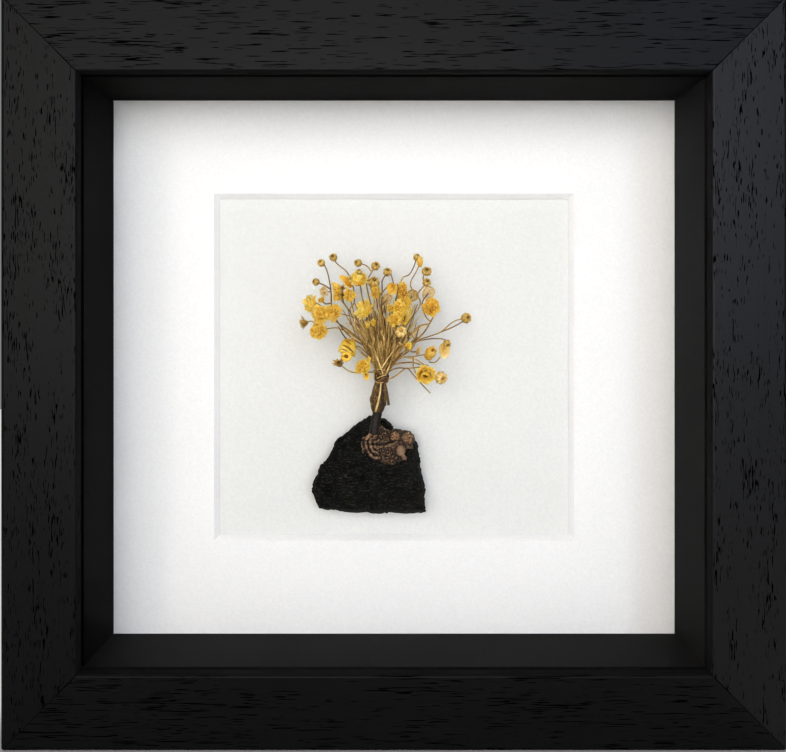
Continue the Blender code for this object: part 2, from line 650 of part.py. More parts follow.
def head_object(top, middle, chance, finish):
    """A head as a body of rings about its axis, its rim drawn in between the lobes."""
    aim, face = math.radians(top["aim"]), math.radians(top["face"])
    axis = Vector((math.cos(aim) * math.cos(face), -math.sin(face), math.sin(aim) * math.cos(face)))
    side = axis.cross(Vector((0.0, 1.0, 0.0))).normalized()
    up = axis.cross(side)
    kind = top["kind"]
    sides = HEAD_SIDES[kind]
    lobes = HEAD_LOBES[kind]
    flat = PETAL_FLAT if kind == "petal" else 1.0
    profile = HEAD_RINGS[kind]
    shape = bmesh.new()
    rings = []
    for share, height in profile[1:-1]:
        ring = []
        for i in range(sides):
            angle = math.tau * i / sides
            reach = share * top["width"] / 2 * (1.0 - lobes * (i % 2) + chance.uniform(-lobes, lobes) * 0.6)
            lift = axis * height * top["length"]
            out = side * math.cos(angle) * reach + up * math.sin(angle) * reach * flat
            ring.append(middle + (lift + out) * MM)
        rings.append(ring)
    rows = loft(shape, rings, False, False)
    for row, (share, height) in ((rows[0], profile[0]), (rows[-1], profile[-1])):
        point = shape.verts.new(middle + axis * height * top["length"] * MM)
        for i in range(sides):
            shape.faces.new((row[i], row[(i + 1) % sides], point))
    return add_object("head", shape, finish)


def stem_path(points, start_depth, tip_depth):
    """Gives each (x, z) a depth that changes evenly along the stem."""
    lengths = [0.0]
    for a, b in zip(points, points[1:]):
        lengths.append(lengths[-1] + math.dist(a, b))
    return [(x, z, start_depth + (tip_depth - start_depth) * run / lengths[-1])
            for (x, z), run in zip(points, lengths)]


def nearest(paths, spot_seen):
    """The point of the stems so far that is seen closest to an (x, z)."""
    points = []
    for path in paths:
        for a, b in zip(path, path[1:]):
            points += [tuple(p + (q - p) * step / 10 for p, q in zip(a, b)) for step in range(11)]
    return min(points, key=lambda point: math.dist(point[:2], spot_seen))


def build_sprig(name, stems, straw):
    """A stem with its forks and heads, joined in one body."""
    chance = random.Random(name)
    grown = []
    pieces = []
    for each in stems:
        points = each["points"]
        depth = each["row"]
        thick = STEM_R
        if grown:
            start = nearest(grown, points[0])
            points = [start[:2]] + points[1:]
            depth = start[2]
            thick = FORK_R
        path = stem_path(points, depth, each["tip"])
        grown.append(path)
        places = [spot(*point) for point in path]
        last = len(places) - 1
        radii = [thick + (TIP_R - thick) * i / last for i in range(last + 1)]
        shape = bmesh.new()
        loft(shape, tube_rings(places, radii, STEM_SIDES))
        pieces.append(add_object(name if not pieces else "piece", shape, straw))
        if each["head"]:
            pieces.append(head_object(each["head"], places[-1], chance, straw))
    return fuse(pieces[0], pieces[1:])


def main():
    clear_scene()
    black_wood = material("black_stained_wood", (0.022, 0.022, 0.024), 0.42)
    black_matte = material("black_paper_foil", (0.008, 0.008, 0.009), 0.6)
    glass = material("clear_glass", (0.95, 0.98, 0.97), 0.02, 0.0, 0.12)
    board = material("white_mount_board", (0.88, 0.88, 0.86), 0.85)
    card = material("white_backing_card", (0.86, 0.86, 0.84), 0.85)
    hardboard = material("brown_hardboard", (0.19, 0.11, 0.06), 0.7)
    steel = material("zinc_plated_steel", (0.55, 0.56, 0.57), 0.35, 1.0)
    brass = material("brass_plated_steel", (0.62, 0.47, 0.2), 0.35, 1.0)
    slate = material("black_slate", (0.012, 0.012, 0.011), 0.75)
    lichen = material("brown_lichen_bark", (0.22, 0.13, 0.09), 0.85)
    tape = material("brown_floral_tape", (0.04, 0.03, 0.025), 0.7)
    straw = material("dry_straw", (0.38, 0.25, 0.1), 0.75)
    fibre = material("dark_twine", (0.12, 0.06, 0.03), 0.8)
    petals = material("dried_yellow_flower", (0.72, 0.44, 0.06), 0.7)

    build_frame(black_wood)
    panel_back = build_layers(glass, black_matte, board, card, hardboard)
    build_tabs(panel_back, steel)
    build_hanger(panel_back, brass)
    stone = build_stone(slate)
    build_lichen(stone, lichen)
    build_foot(tape)
    build_stem_bunch(straw)
    build_tie(fibre)
    for name, stems in SPRIGS.items():
        build_sprig(name, stems, petals)


main()
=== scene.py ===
"""The dressed box frame: black stained wood, glass and a bevelled mount round dried flowers on a stone."""

import math
import random

import bmesh
import bpy
from mathutils import Matrix, Vector, noise
from mathutils.bvhtree import BVHTree


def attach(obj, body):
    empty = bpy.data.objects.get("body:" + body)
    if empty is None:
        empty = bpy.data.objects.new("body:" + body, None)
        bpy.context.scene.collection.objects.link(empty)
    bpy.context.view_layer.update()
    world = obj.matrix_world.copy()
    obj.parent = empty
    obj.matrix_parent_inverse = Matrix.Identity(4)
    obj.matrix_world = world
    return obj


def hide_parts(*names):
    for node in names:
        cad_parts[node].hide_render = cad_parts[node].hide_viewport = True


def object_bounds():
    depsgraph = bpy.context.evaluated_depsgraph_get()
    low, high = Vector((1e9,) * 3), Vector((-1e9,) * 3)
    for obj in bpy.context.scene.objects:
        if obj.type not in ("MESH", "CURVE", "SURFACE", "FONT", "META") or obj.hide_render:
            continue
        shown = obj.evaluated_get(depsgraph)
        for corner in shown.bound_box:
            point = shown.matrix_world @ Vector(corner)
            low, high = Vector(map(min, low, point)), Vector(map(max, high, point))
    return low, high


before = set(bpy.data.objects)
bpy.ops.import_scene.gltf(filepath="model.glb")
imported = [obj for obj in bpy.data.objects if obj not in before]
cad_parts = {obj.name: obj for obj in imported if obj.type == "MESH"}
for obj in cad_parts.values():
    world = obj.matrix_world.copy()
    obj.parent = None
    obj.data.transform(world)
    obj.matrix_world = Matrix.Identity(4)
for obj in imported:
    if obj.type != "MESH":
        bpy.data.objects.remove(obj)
cad_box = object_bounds()

# Sizes here are in millimetres. The frame's own come from its box, and the sight edge is half the opening
MM = 0.001
FRAME_W, FRAME_D, FRAME_H = (round((high - low) / MM, 3) for low, high in zip(*cad_box))
FRAME_MIDDLE = FRAME_H / 2
SIGHT_X = 100.8
SIGHT_Z = 95.8
PHOTO_W = 786
PHOTO_H = 752

# Where the picture was taken from, and the plane that the bunch is laid out on
EYE_DISTANCE = 267.0
EYE_HEIGHT = 136.1
PLAN_DEPTH = 25.0
PLAN_SHIFT = (-0.24, 0.38)
SENSOR_MM = 36.0
FOCAL_PX = 842.0
PRINCIPAL_X = 394.1
PRINCIPAL_Y = 322.3

# Soft boxes: place and size in metres, power in watts, tint. All point at the frame's middle
LIGHT_AIM = (0.0, 0.0, 0.12)
LIGHTS = {
    "key": ((-1.15, -2.0, 0.55), (0.5, 1.8), 10.5, "#FFF7EE"),
    "fill": ((0.95, -2.1, 0.75), (0.5, 1.3), 10, "#DCE7FF"),
    "top_light": ((-0.2, -2.0, 1.22), (1.2, 0.4), 2.5, "#FFFFFF"),
    "front_light": ((-0.12, -2.3, 0.6), (1.3, 1.0), 14.5, "#FFFEFC"),
    "camera_side_light": ((-0.14, -2.3, 0.16), (0.9, 0.8), 10, "#FFFEFC"),
    "back_light": ((0.6, 1.6, 1.3), (1.2, 1.2), 30, "#FFFFFF"),
}
SKY_STRENGTH = 0.25
FLOOR_R = 1.2
FLOOR_DROP = 0.0003

# Glue strip in each mitre: its run on each side of the corner, its thickness, and how far it stays inside
GLUE_RUN = 17.4
GLUE_THICK = 0.26
GLUE_INSET = 0.5

# Stone: outline from the top, clockwise, and (share of the outline, depth) for its back and its face
STONE_BACK = 37.7
STONE_MIDDLE = (-8.0, 86.0)
STONE_OUTLINE = [
    (-7.7, 103.5), (-4.2, 102.6), (-2.4, 102.1), (-1.1, 100.9), (-0.2, 99.9), (-0.1, 99.0), (2.3, 98.6),
    (4.0, 98.3), (6.4, 97.2), (7.5, 94.8), (8.6, 93.2), (8.6, 90.5), (9.3, 88.6), (9.3, 86.0), (10.0, 82.7),
    (11.0, 79.3), (11.0, 77.7), (10.8, 73.7), (11.3, 70.1), (8.8, 69.7), (4.7, 69.3), (-1.5, 69.6),
    (-5.5, 69.3), (-9.2, 69.7), (-17.0, 69.9), (-20.1, 70.7), (-24.1, 70.9), (-26.0, 71.5), (-26.6, 73.4),
    (-27.9, 76.0), (-28.4, 78.0), (-27.7, 80.5), (-26.3, 83.0), (-25.4, 86.1), (-23.2, 88.3), (-21.0, 91.7),
    (-20.6, 93.6), (-19.2, 95.4), (-17.8, 96.4), (-15.4, 98.2), (-13.9, 99.6), (-11.1, 101.5), (-8.9, 102.9),
]
STONE_REAR = [(0.0, STONE_BACK), (0.5, STONE_BACK), (0.9, STONE_BACK), (0.96, 37.0), (0.985, 36.0),
              (0.995, 34.6)]
STONE_FACE = [(1.0, 32.0), (0.94, 28.8), (0.82, 26.6), (0.62, 25.4), (0.38, 24.9), (0.14, 24.7), (0.0, 24.7)]
# Shares at which the face is drawn: close together at its edge, wider over the rest
STONE_SHARES = [1.0 - 0.012 * i for i in range(12)] + [0.856 - 0.026 * i for i in range(32)] + [0.015]
STONE_SWELL = 1.8
STONE_BREAK = 6.0
STONE_CHIP = 0.5

# Lichen flake: outline from the top left, anticlockwise
LICHEN_MIDDLE = (-1.8, 92.6)
LICHEN_OUTLINE = [
    (-8.1, 97.7), (-9.2, 96.9), (-10.9, 95.9), (-10.4, 94.8), (-11.4, 93.7), (-10.7, 91.5), (-11.1, 91.0),
    (-10.4, 90.2), (-9.1, 90.2), (-8.4, 89.2), (-7.2, 88.0), (-5.4, 88.0), (-4.2, 87.0), (-2.4, 86.5),
    (-0.6, 86.3), (0.9, 86.9), (2.6, 87.4), (4.2, 88.0), (4.6, 89.0), (3.9, 90.0), (4.8, 91.7), (7.2, 92.0),
    (6.6, 93.3), (7.6, 94.0), (6.9, 96.9), (5.9, 97.8), (4.2, 98.4), (3.4, 97.8), (1.6, 98.4), (0.2, 98.8),
    (-0.9, 98.0), (-1.7, 98.2), (-2.7, 99.2), (-3.9, 99.9), (-5.3, 99.2), (-6.1, 98.0),
]
LICHEN_REACH = 26.6
LICHEN_CHIP = 0.6
LICHEN_STEP = 0.0225
LICHEN_RINGS = 44
FLAKE_RISE = 2.1
FLAKE_TONE = 0.42
# Its nested rims lie left of RIM_FULL_X, fade out over RIM_FADE and end at RIM_LAST_X
RIM_MIDDLE = (-4.9, 93.4)
RIM_PITCH = 1.55
RIM_FULL_X = -4.4
RIM_FADE = 2.2
RIM_LAST_X = 0.5
RIM_FOOT_Z = 90.5
# The fold across it: its ends, its height and how steeply it climbs to the right
FOLD_ENDS = (-8.0, 1.4)
FOLD_Z = 92.9
FOLD_BEND_X = -3.0
FOLD_CLIMB = 0.38
# Smooth lobes and crumbled hollows: middle x and z, half width, half height, rise, tone, how crumbled it is
LICHEN_LOBES = [
    (2.6, 91.2, 1.7, 2.0, 0.9, 0.36, 0.0), (3.9, 88.9, 1.1, 1.4, 0.7, 0.3, 0.0),
    (5.2, 95.7, 2.2, 2.2, 0.5, 0.2, 1.3), (0.6, 96.0, 1.7, 2.0, 0.8, 0.22, 1.0),
    (-9.1, 96.2, 2.0, 1.5, 0.6, 0.26, 0.6),
]
LICHEN_HOLLOWS = [
    (-4.1, 96.9, 2.4, 2.3, 0.0, -0.2, 1.8), (-2.6, 90.4, 3.4, 2.6, -0.1, -0.2, 1.8),
    (1.0, 88.0, 2.2, 1.2, 0.0, -0.2, 1.4),
]
LOBE_GAP = 0.4
WARM_PATCHES = [(-9.0, 96.3, 1.7, 1.2), (0.8, 95.4, 2.0, 2.2), (5.2, 94.8, 1.3, 1.5)]

# Taped foot: path as (x, z), radius, and turns of tape
BUNCH_DEPTH = 24.0
FOOT_PATH = [(-5.5, 104.6), (-6.0, 101.8), (-6.9, 97.2)]
FOOT_R = 1.6
TAPE_TURNS = 5.5

# Bunch of stems as (z, x, half width, half depth). The stems that go through the tie start at their cut
# ends, and the rest start inside it
STEM_SECTIONS = [
    (104.3, -5.5, 1.3, 1.2), (106.3, -5.3, 2.4, 2.0), (108.7, -5.05, 2.8, 2.3),
    (112.4, -4.7, 2.5, 2.2), (114.6, -4.4, 2.0, 1.8), (117.0, -4.1, 1.8, 1.7), (119.6, -3.8, 2.6, 2.0),
    (121.4, -3.5, 3.6, 2.8), (125.4, -3.0, 6.0, 4.6),
]
STEM_HEIGHTS = [104.6, 106.3, 108.7, 110.6, 112.4, 114.6, 117.0, 119.6, 121.4]
CUT_Z = STEM_HEIGHTS[0]
IN_TIE_Z = 115.0
FAN_Z = STEM_HEIGHTS[-1]
THROUGH_STEMS = 34
FAN_STEMS = 126
GOLDEN_ANGLE = 2.39996
BUNCH_SEED = 5
# Fan over the tie: lean of its outer stems and its jog in degrees, lengths of its stems, and its depths
FAN_LEAN = 40
FAN_JOG = 14
FAN_LENGTHS = (10.0, 27.0)
FAN_DEPTHS = (16.0, 30.0)
BRIGHT_STRAW = [(-4.3, 114.6, 21.6), (-4.7, 111.0, 21.3), (-5.4, 107.6, 21.6), (-6.2, 104.7, 22.3)]
STUBS = [
    [(-3.2, 115.4, 23.4), (-2.3, 111.5, 23.0), (-1.65, 107.0, 23.0)],
    [(-3.6, 115.4, 22.8), (-2.9, 111.0, 22.3), (-2.9, 106.8, 22.6)],
    [(-5.4, 114.6, 22.6), (-7.2, 110.8, 22.4), (-7.8, 108.7, 22.4), (-6.9, 106.6, 22.8),
     (-6.3, 105.0, 23.2)],
]
# The knot on the bunch, then a dark ball in its hole that is painted shade
KNOT = (-6.3, 109.3, 21.9)
KNOT_HOLE_SHADE = (-6.3, 109.2, 21.45)

# Tie: wraps as (height, rise, radius, thickness), then the straws laid on them and those crossed over them
# as (path, tone)
TIE_SEED = 8
TIE_X = -4.1
TIE_REACH = 2.65
TIE_WRAPS = [
    (115.3, 0.5, 2.05, 0.34), (116.0, -0.7, 2.1, 0.28), (116.8, 1.2, 2.15, 0.26), (117.5, -0.9, 2.1, 0.28),
    (118.2, 0.8, 2.3, 0.24), (118.8, -0.4, 2.4, 0.3), (116.9, 2.2, 2.3, 0.22), (117.1, -2.4, 2.35, 0.2),
]
LAID_STRAWS = [
    ([(-6.4, 118.9), (-5.0, 119.4), (-2.9, 119.2), (-1.3, 119.8)], 0.8),
    ([(-5.7, 116.3), (-4.2, 117.0), (-2.7, 117.6), (-1.7, 119.4), (-0.9, 122.2)], 0.9),
    ([(-6.5, 118.6), (-6.7, 117.0), (-6.3, 115.4), (-5.0, 114.7), (-3.6, 114.9)], 0.7),
    ([(-5.2, 117.9), (-4.1, 118.3), (-2.6, 118.3)], 0.4),
    ([(-5.4, 115.3), (-3.2, 116.5)], 0.45),
]
CROSSED_STRAWS = [
    ([(-5.6, 123.9), (-4.9, 121.6), (-4.2, 119.6), (-3.6, 117.6)], 0.95),
    ([(3.3, 129.6), (-0.4, 125.3), (-3.2, 121.2), (-4.4, 119.6)], 1.0),
    ([(-6.6, 125.6), (-5.2, 122.0), (-4.4, 119.2)], 0.8),
]
# The crossed straws lie frontmost at this place, and slope back from it
CROSSED_X = -4.0
CROSSED_DEPTH = 19.4
CROSSED_SLOPE = 0.3

# Where a sprig's stem enters the tie: the share kept of its way from the middle, how far out, and how high
GATHER_SHARE = 0.25
GATHER_REACH = 1.3
GATHER_Z = 117.4
# Stems that are drawn from above this height bend once between the tie and the fan
LONG_STEM_Z = 125.0

# Rows of the bunch from front to back, and the finishes of a sprig in the order of its materials
FRONT, MIDDLE, BACK = 20.8, 24.0, 27.2
FINISHES = ("stem", "gold", "orange", "pale", "beige", "bud")


def head(kind, width, length, aim, face, look=None):
    """A head's kind, size, axis (aim is the angle up from +X, face the turn to the front) and colour."""
    look = look or ("bud" if kind in ("bud", "calyx") else "gold")
    return {"kind": kind, "width": width, "length": length, "aim": aim, "face": face, "look": look}


def stem(points, tip, top=None, row=None, thick=0.27):
    """A stem's (x, z) points, its tip's depth, its head, and the row it rises from if it isn't a fork."""
    return {"points": points, "tip": tip, "head": top, "row": row, "thick": thick}


SPRIGS = {
    "sprig_01": [
        stem([(-8.5, 126.1), (-14.4, 130.3), (-18.6, 134.8), (-21.0, 139.3), (-21.5, 142.5),
              (-21.6, 145.9), (-22.2, 150.2), (-23.4, 154.6), (-25.0, 156.3)], 22.0,
             head("bud", 2.6, 2.5, 125, 60), MIDDLE),
        stem([(-21.8, 147.1), (-24.2, 148.7), (-26.8, 149.7)], 21.5, head("bud", 2.5, 2.4, 165, 40)),
        stem([(-21.7, 146.2), (-24.0, 146.4)], 21.0, head("cup", 2.7, 2.6, 200, 40, "beige")),
        stem([(-21.5, 142.5), (-23.5, 142.1), (-24.9, 143.5)], 21.5, head("pom", 2.4, 2.2, 120, 20)),
    ],
    "sprig_02": [
        stem([(-6.1, 126.1), (-11.0, 132.4), (-15.0, 139.4), (-13.6, 142.6), (-13.9, 147.7),
              (-15.9, 152.9), (-19.5, 156.0), (-20.8, 158.2)], 26.0, head("bud", 2.7, 2.6, 115, 65),
             BACK),
        stem([(-15.0, 139.4), (-18.4, 144.0), (-19.5, 145.9)], 20.0, head("pom", 3.0, 7.0, 98, 15)),
        stem([(-14.2, 149.6), (-16.9, 150.7)], 24.0, head("petal", 1.9, 4.4, 148, 10)),
        stem([(-13.9, 148.4), (-16.0, 149.3)], 23.0, head("petal", 1.7, 4.0, 140, 10, "orange")),
        stem([(-16.4, 145.0), (-17.6, 147.6)], 19.6, head("calyx", 1.7, 1.6, 110, 60)),
        stem([(-17.2, 142.6), (-17.6, 145.2)], 18.4, head("calyx", 1.9, 1.6, 80, 75)),
    ],
    "sprig_03": [
        stem([(-7.3, 126.1), (-14.6, 132.2), (-21.4, 137.2), (-25.7, 141.8), (-28.6, 142.2)], 18.6,
             head("cup", 4.2, 4.6, 165, 35), MIDDLE),
    ],
    "sprig_04": [
        stem([(-7.0, 126.1), (-9.6, 133.1), (-12.2, 136.8), (-17.5, 138.5), (-21.0, 139.0)], 15.0,
             head("pom", 6.2, 5.8, 160, 40), FRONT),
        stem([(-19.3, 138.8), (-25.4, 138.5)], 14.6, head("pom", 6.0, 6.0, 185, 35)),
    ],
    "sprig_05": [
        stem([(-6.6, 126.1), (-9.4, 131.3), (-12.9, 137.2), (-14.4, 141.8), (-15.2, 145.1)], 17.5,
             head("pom", 4.2, 5.0, 95, 55), 22.4),
    ],
    "sprig_06": [
        stem([(-5.0, 126.1), (-8.2, 136.6), (-10.6, 143.5), (-11.3, 147.7), (-12.1, 150.6)], 20.5,
             head("cup", 4.9, 5.0, 70, 30), MIDDLE),
        stem([(-11.9, 151.0), (-11.9, 153.2)], 18.8, head("bud", 2.0, 2.0, 90, 50)),
    ],
    "sprig_07": [
        stem([(-4.4, 126.1), (-6.8, 138.3), (-8.9, 146.3), (-9.1, 149.9), (-7.1, 153.9), (-6.2, 155.2)],
             28.0, head("bud", 3.1, 2.9, 60, 60), BACK),
        stem([(-7.7, 153.2), (-8.9, 155.0), (-10.6, 155.8), (-12.2, 156.3)], 27.0,
             head("bud", 2.7, 2.6, 165, 55)),
    ],
    "sprig_08": [
        stem([(-3.4, 126.1), (-5.2, 136.6), (-5.7, 142.5), (-6.2, 145.9)], 21.5,
             head("pom", 4.0, 5.0, 95, 30), MIDDLE),
        stem([(-6.1, 144.9), (-7.8, 147.3), (-6.8, 149.5)], 23.5, head("bud", 3.9, 3.6, 80, 55)),
    ],
    "sprig_09": [
        stem([(-2.6, 126.1), (-4.0, 136.6), (-3.9, 147.4), (-3.8, 150.2), (-2.1, 153.1)], 27.5,
             head("bud", 3.0, 2.9, 75, 55), BACK),
        stem([(-3.7, 140.0), (-0.2, 147.0), (-0.7, 152.0), (-1.6, 153.0)], 28.5,
             head("bud", 1.5, 1.5, 20, 30)),
    ],
    "sprig_10": [
        stem([(-2.6, 126.1), (-4.0, 136.6), (-4.8, 144.3), (-3.7, 146.2), (-2.4, 147.7), (-0.6, 148.8),
              (-0.4, 147.0)], 18.0, head("petal", 3.2, 4.2, 265, 12, "orange"), 22.4),
        stem([(-3.2, 141.0), (-2.2, 143.6)], 19.5, head("lace", 3.4, 4.2, 70, 10, "beige")),
    ],
    "sprig_11": [
        stem([(-3.4, 126.1), (-1.8, 134.8), (-1.0, 140.5)], 17.0, head("pom", 2.8, 3.0, 80, 50), FRONT),
        stem([(-1.7, 134.6), (0.4, 142.0), (1.6, 147.1), (1.3, 149.1)], 13.5),
    ],
    "sprig_12": [
        stem([(-0.4, 126.1), (1.6, 134.8), (2.6, 142.5), (3.2, 146.3)], 18.0,
             head("pom", 4.2, 7.2, 105, 20, "orange"), MIDDLE),
        stem([(2.6, 142.5), (5.0, 143.2), (6.4, 144.8)], 18.5, head("lace", 4.4, 4.2, 40, 10, "bud")),
        stem([(2.2, 140.4), (4.0, 142.2)], 16.5, head("pom", 4.4, 4.8, 60, 40)),
    ],
    "sprig_13": [
        stem([(-0.8, 126.1), (1.2, 140.0), (2.8, 150.2), (5.4, 152.2), (6.9, 154.6), (8.1, 158.2)], 26.0,
             head("bud", 2.4, 2.4, 70, 40), BACK),
    ],
    "sprig_14": [
        stem([(0.8, 126.1), (4.8, 135.0), (9.4, 142.2), (6.5, 147.0), (6.0, 149.7), (8.0, 153.4),
              (9.3, 156.6)], 23.5, head("fold", 2.5, 3.2, 85, 20, "orange"), BACK),
        stem([(7.8, 144.7), (9.2, 146.7), (11.5, 149.5)], 22.5, head("bud", 2.9, 2.6, 60, 60)),
        stem([(10.6, 148.6), (10.3, 151.3), (11.5, 153.4)], 23.0, head("bud", 3.3, 2.7, 80, 65)),
    ],
    "sprig_15": [
        stem([(1.0, 126.1), (7.6, 129.6), (10.5, 132.1), (12.9, 135.9), (14.2, 138.8), (13.3, 141.0)],
             18.0, head("pom", 6.0, 6.4, 100, 30, "orange"), MIDDLE, thick=0.34),
        stem([(12.9, 135.9), (11.2, 137.8), (9.9, 142.2), (12.1, 145.8)], 21.5,
             head("lace", 4.4, 4.6, 55, 10, "pale")),
        stem([(12.3, 135.2), (9.0, 134.4), (6.4, 131.7), (7.6, 129.6)], 22.1),
    ],
    "sprig_16": [
        stem([(-5.6, 126.1), (-6.6, 132.4), (-7.8, 137.2), (-10.1, 139.8)], 15.0,
             head("cup", 3.5, 5.2, 140, 35), FRONT),
        stem([(-7.3, 135.4), (-8.9, 134.9)], 16.5, head("fold", 1.8, 2.8, 75, 40)),
        stem([(-7.2, 134.0), (-7.0, 135.6)], 16.8, head("fold", 1.7, 2.8, 95, 30)),
    ],
    "sprig_17": [
        stem([(-1.8, 126.1), (0.6, 133.1), (1.9, 140.6)], 14.4, head("pom", 4.6, 5.6, 80, 30), FRONT),
        stem([(0.4, 132.6), (0.2, 136.6)], 13.6, head("pom", 4.6, 4.6, 110, 40)),
        stem([(0.8, 133.1), (3.0, 134.4), (4.1, 138.2)], 13.8, head("lace", 4.4, 6.2, 80, 10)),
        stem([(0.8, 133.1), (3.1, 137.4)], 16.4, head("pom", 4.0, 5.2, 80, 30)),
    ],
    "sprig_18": [
        stem([(0.4, 126.1), (2.3, 129.6), (2.7, 132.4)], 15.5, head("bud", 3.9, 3.4, 85, 70, "pale"),
             FRONT),
        stem([(1.9, 128.8), (4.0, 127.2), (5.3, 127.8)], 18.0, head("petal", 2.2, 3.2, 60, 20)),
        stem([(4.0, 127.2), (6.8, 125.4), (8.6, 126.2)], 18.5, head("petal", 1.3, 3.4, 72, 10, "beige")),
    ],
    "sprig_19": [
        stem([(2.0, 126.1), (7.6, 129.2), (12.9, 131.0), (16.5, 132.4), (20.9, 136.0), (25.2, 137.2)],
             21.0, head("bud", 3.5, 3.3, 20, 65), BACK),
        stem([(16.5, 132.4), (20.9, 134.2), (25.2, 136.7)], 20.5),
        stem([(3.6, 127.2), (5.0, 129.4), (5.4, 131.6)], 20.5, head("calyx", 1.7, 1.6, 100, 30)),
    ],
    "sprig_20": [
        stem([(-8.2, 126.1), (-12.7, 130.3), (-17.2, 132.9), (-20.3, 133.8), (-26.0, 132.8)], 16.0,
             head("pom", 5.9, 6.4, 250, 40), FRONT),
        stem([(-25.2, 133.6), (-28.0, 136.0), (-31.0, 135.5)], 17.0, head("calyx", 2.8, 3.0, 185, 30)),
    ],
    "sprig_21": [
        stem([(-8.3, 123.6), (-12.3, 127.4), (-15.8, 126.3)], 15.5, head("roll", 6.2, 8.6, 262, 20),
             22.5),
    ],
    "sprig_22": [
        stem([(-7.05, 118.4), (-12.8, 118.2), (-15.9, 119.1), (-18.8, 121.5)], 18.5,
             head("calyx", 3.0, 3.0, 110, 40), 23.5),
    ],
    "sprig_23": [
        stem([(-7.7, 121.9), (-10.6, 120.4)], 16.5, head("pom", 5.2, 5.6, 200, 35), 23.0),
        stem([(-10.3, 119.7), (-9.3, 117.0)], 17.5, head("petal", 1.8, 2.8, 280, 10)),
        stem([(-9.4, 121.0), (-8.5, 122.6)], 18.0, head("fold", 1.7, 2.6, 75, 30)),
    ],
    "sprig_24": [
        stem([(1.7, 123.0), (5.4, 123.7), (8.5, 124.1), (12.9, 125.0)], 16.5,
             head("fold", 4.9, 4.9, 60, 50, "orange"), 23.2),
        stem([(4.6, 123.6), (7.6, 122.9), (10.3, 121.2), (12.1, 120.7)], 19.0),
        stem([(6.8, 123.9), (6.9, 120.6), (8.1, 117.3)], 20.5),
        stem([(2.4, 123.2), (4.2, 126.2), (6.6, 128.4), (8.4, 129.0)], 20.0),
    ],
    "sprig_25": [
        stem([(2.0, 126.4), (7.6, 128.9), (12.9, 130.0), (17.6, 129.8), (18.6, 128.3)], 20.0,
             head("bud", 2.8, 2.7, 300, 60), FRONT),
        stem([(18.5, 128.6), (17.6, 125.5)], 19.5, head("petal", 3.4, 5.2, 262, 10, "pale")),
        stem([(16.9, 123.2), (14.7, 122.0), (12.2, 122.0)], 19.0, thick=0.24),
    ],
    "sprig_26": [
        stem([(-0.2, 120.9), (5.0, 121.8), (7.6, 121.6), (10.3, 120.3), (11.2, 117.5)], 17.0,
             head("cup", 5.8, 4.6, 250, 68), 23.6, thick=0.34),
        stem([(11.7, 117.4), (14.2, 117.3), (16.5, 116.5)], 18.0, head("bud", 4.3, 3.6, 335, 62, "pale")),
    ],
    "sprig_27": [
        stem([(-1.1, 116.2), (0.9, 117.3), (3.3, 119.1), (5.0, 119.7), (8.2, 116.0), (12.8, 111.1)], 22.0,
             row=24.6, thick=0.28),
        stem([(5.0, 119.7), (9.4, 120.2)], 24.0, thick=0.28),
        stem([(4.6, 119.6), (2.0, 119.9), (-0.6, 119.2), (-2.3, 117.8)], 21.5, thick=0.26),
    ],
}


# Materials

# Numbers of a colour Mix node's two colour inputs and of its result
MIX_A, MIX_B, MIXED = 6, 7, 2


def colour(text):
    """An sRGB hex colour as linear red, green, blue and alpha."""
    channels = [int(text[i:i + 2], 16) / 255 for i in (1, 3, 5)]
    return [c / 12.92 if c <= 0.04045 else ((c + 0.055) / 1.055) ** 2.4 for c in channels] + [1.0]


def new_material(name, roughness, metallic=0.0):
    """A material with nodes, its node tree and its shader."""
    made = bpy.data.materials.new(name)
    made.use_nodes = True
    shader = made.node_tree.nodes["Principled BSDF"]
    shader.inputs["Roughness"].default_value = roughness
    shader.inputs["Metallic"].default_value = metallic
    return made, made.node_tree, shader


def add_node(tree, kind, inputs=None, stops=None, **settings):
    """Adds a node, sets it up, links or fills its inputs, and gives a colour ramp its stops."""
    node = tree.nodes.new("ShaderNode" + kind)
    for name, value in settings.items():
        setattr(node, name, value)
    for name, value in (inputs or {}).items():
        if isinstance(value, bpy.types.NodeSocket):
            tree.links.new(value, node.inputs[name])
        else:
            node.inputs[name].default_value = value
    if stops:
        ramp = node.color_ramp
        while len(ramp.elements) < len(stops):
            ramp.elements.new(1.0)
        for element, (place, text) in zip(ramp.elements, stops):
            element.position = place
            element.color = colour(text)
    return node


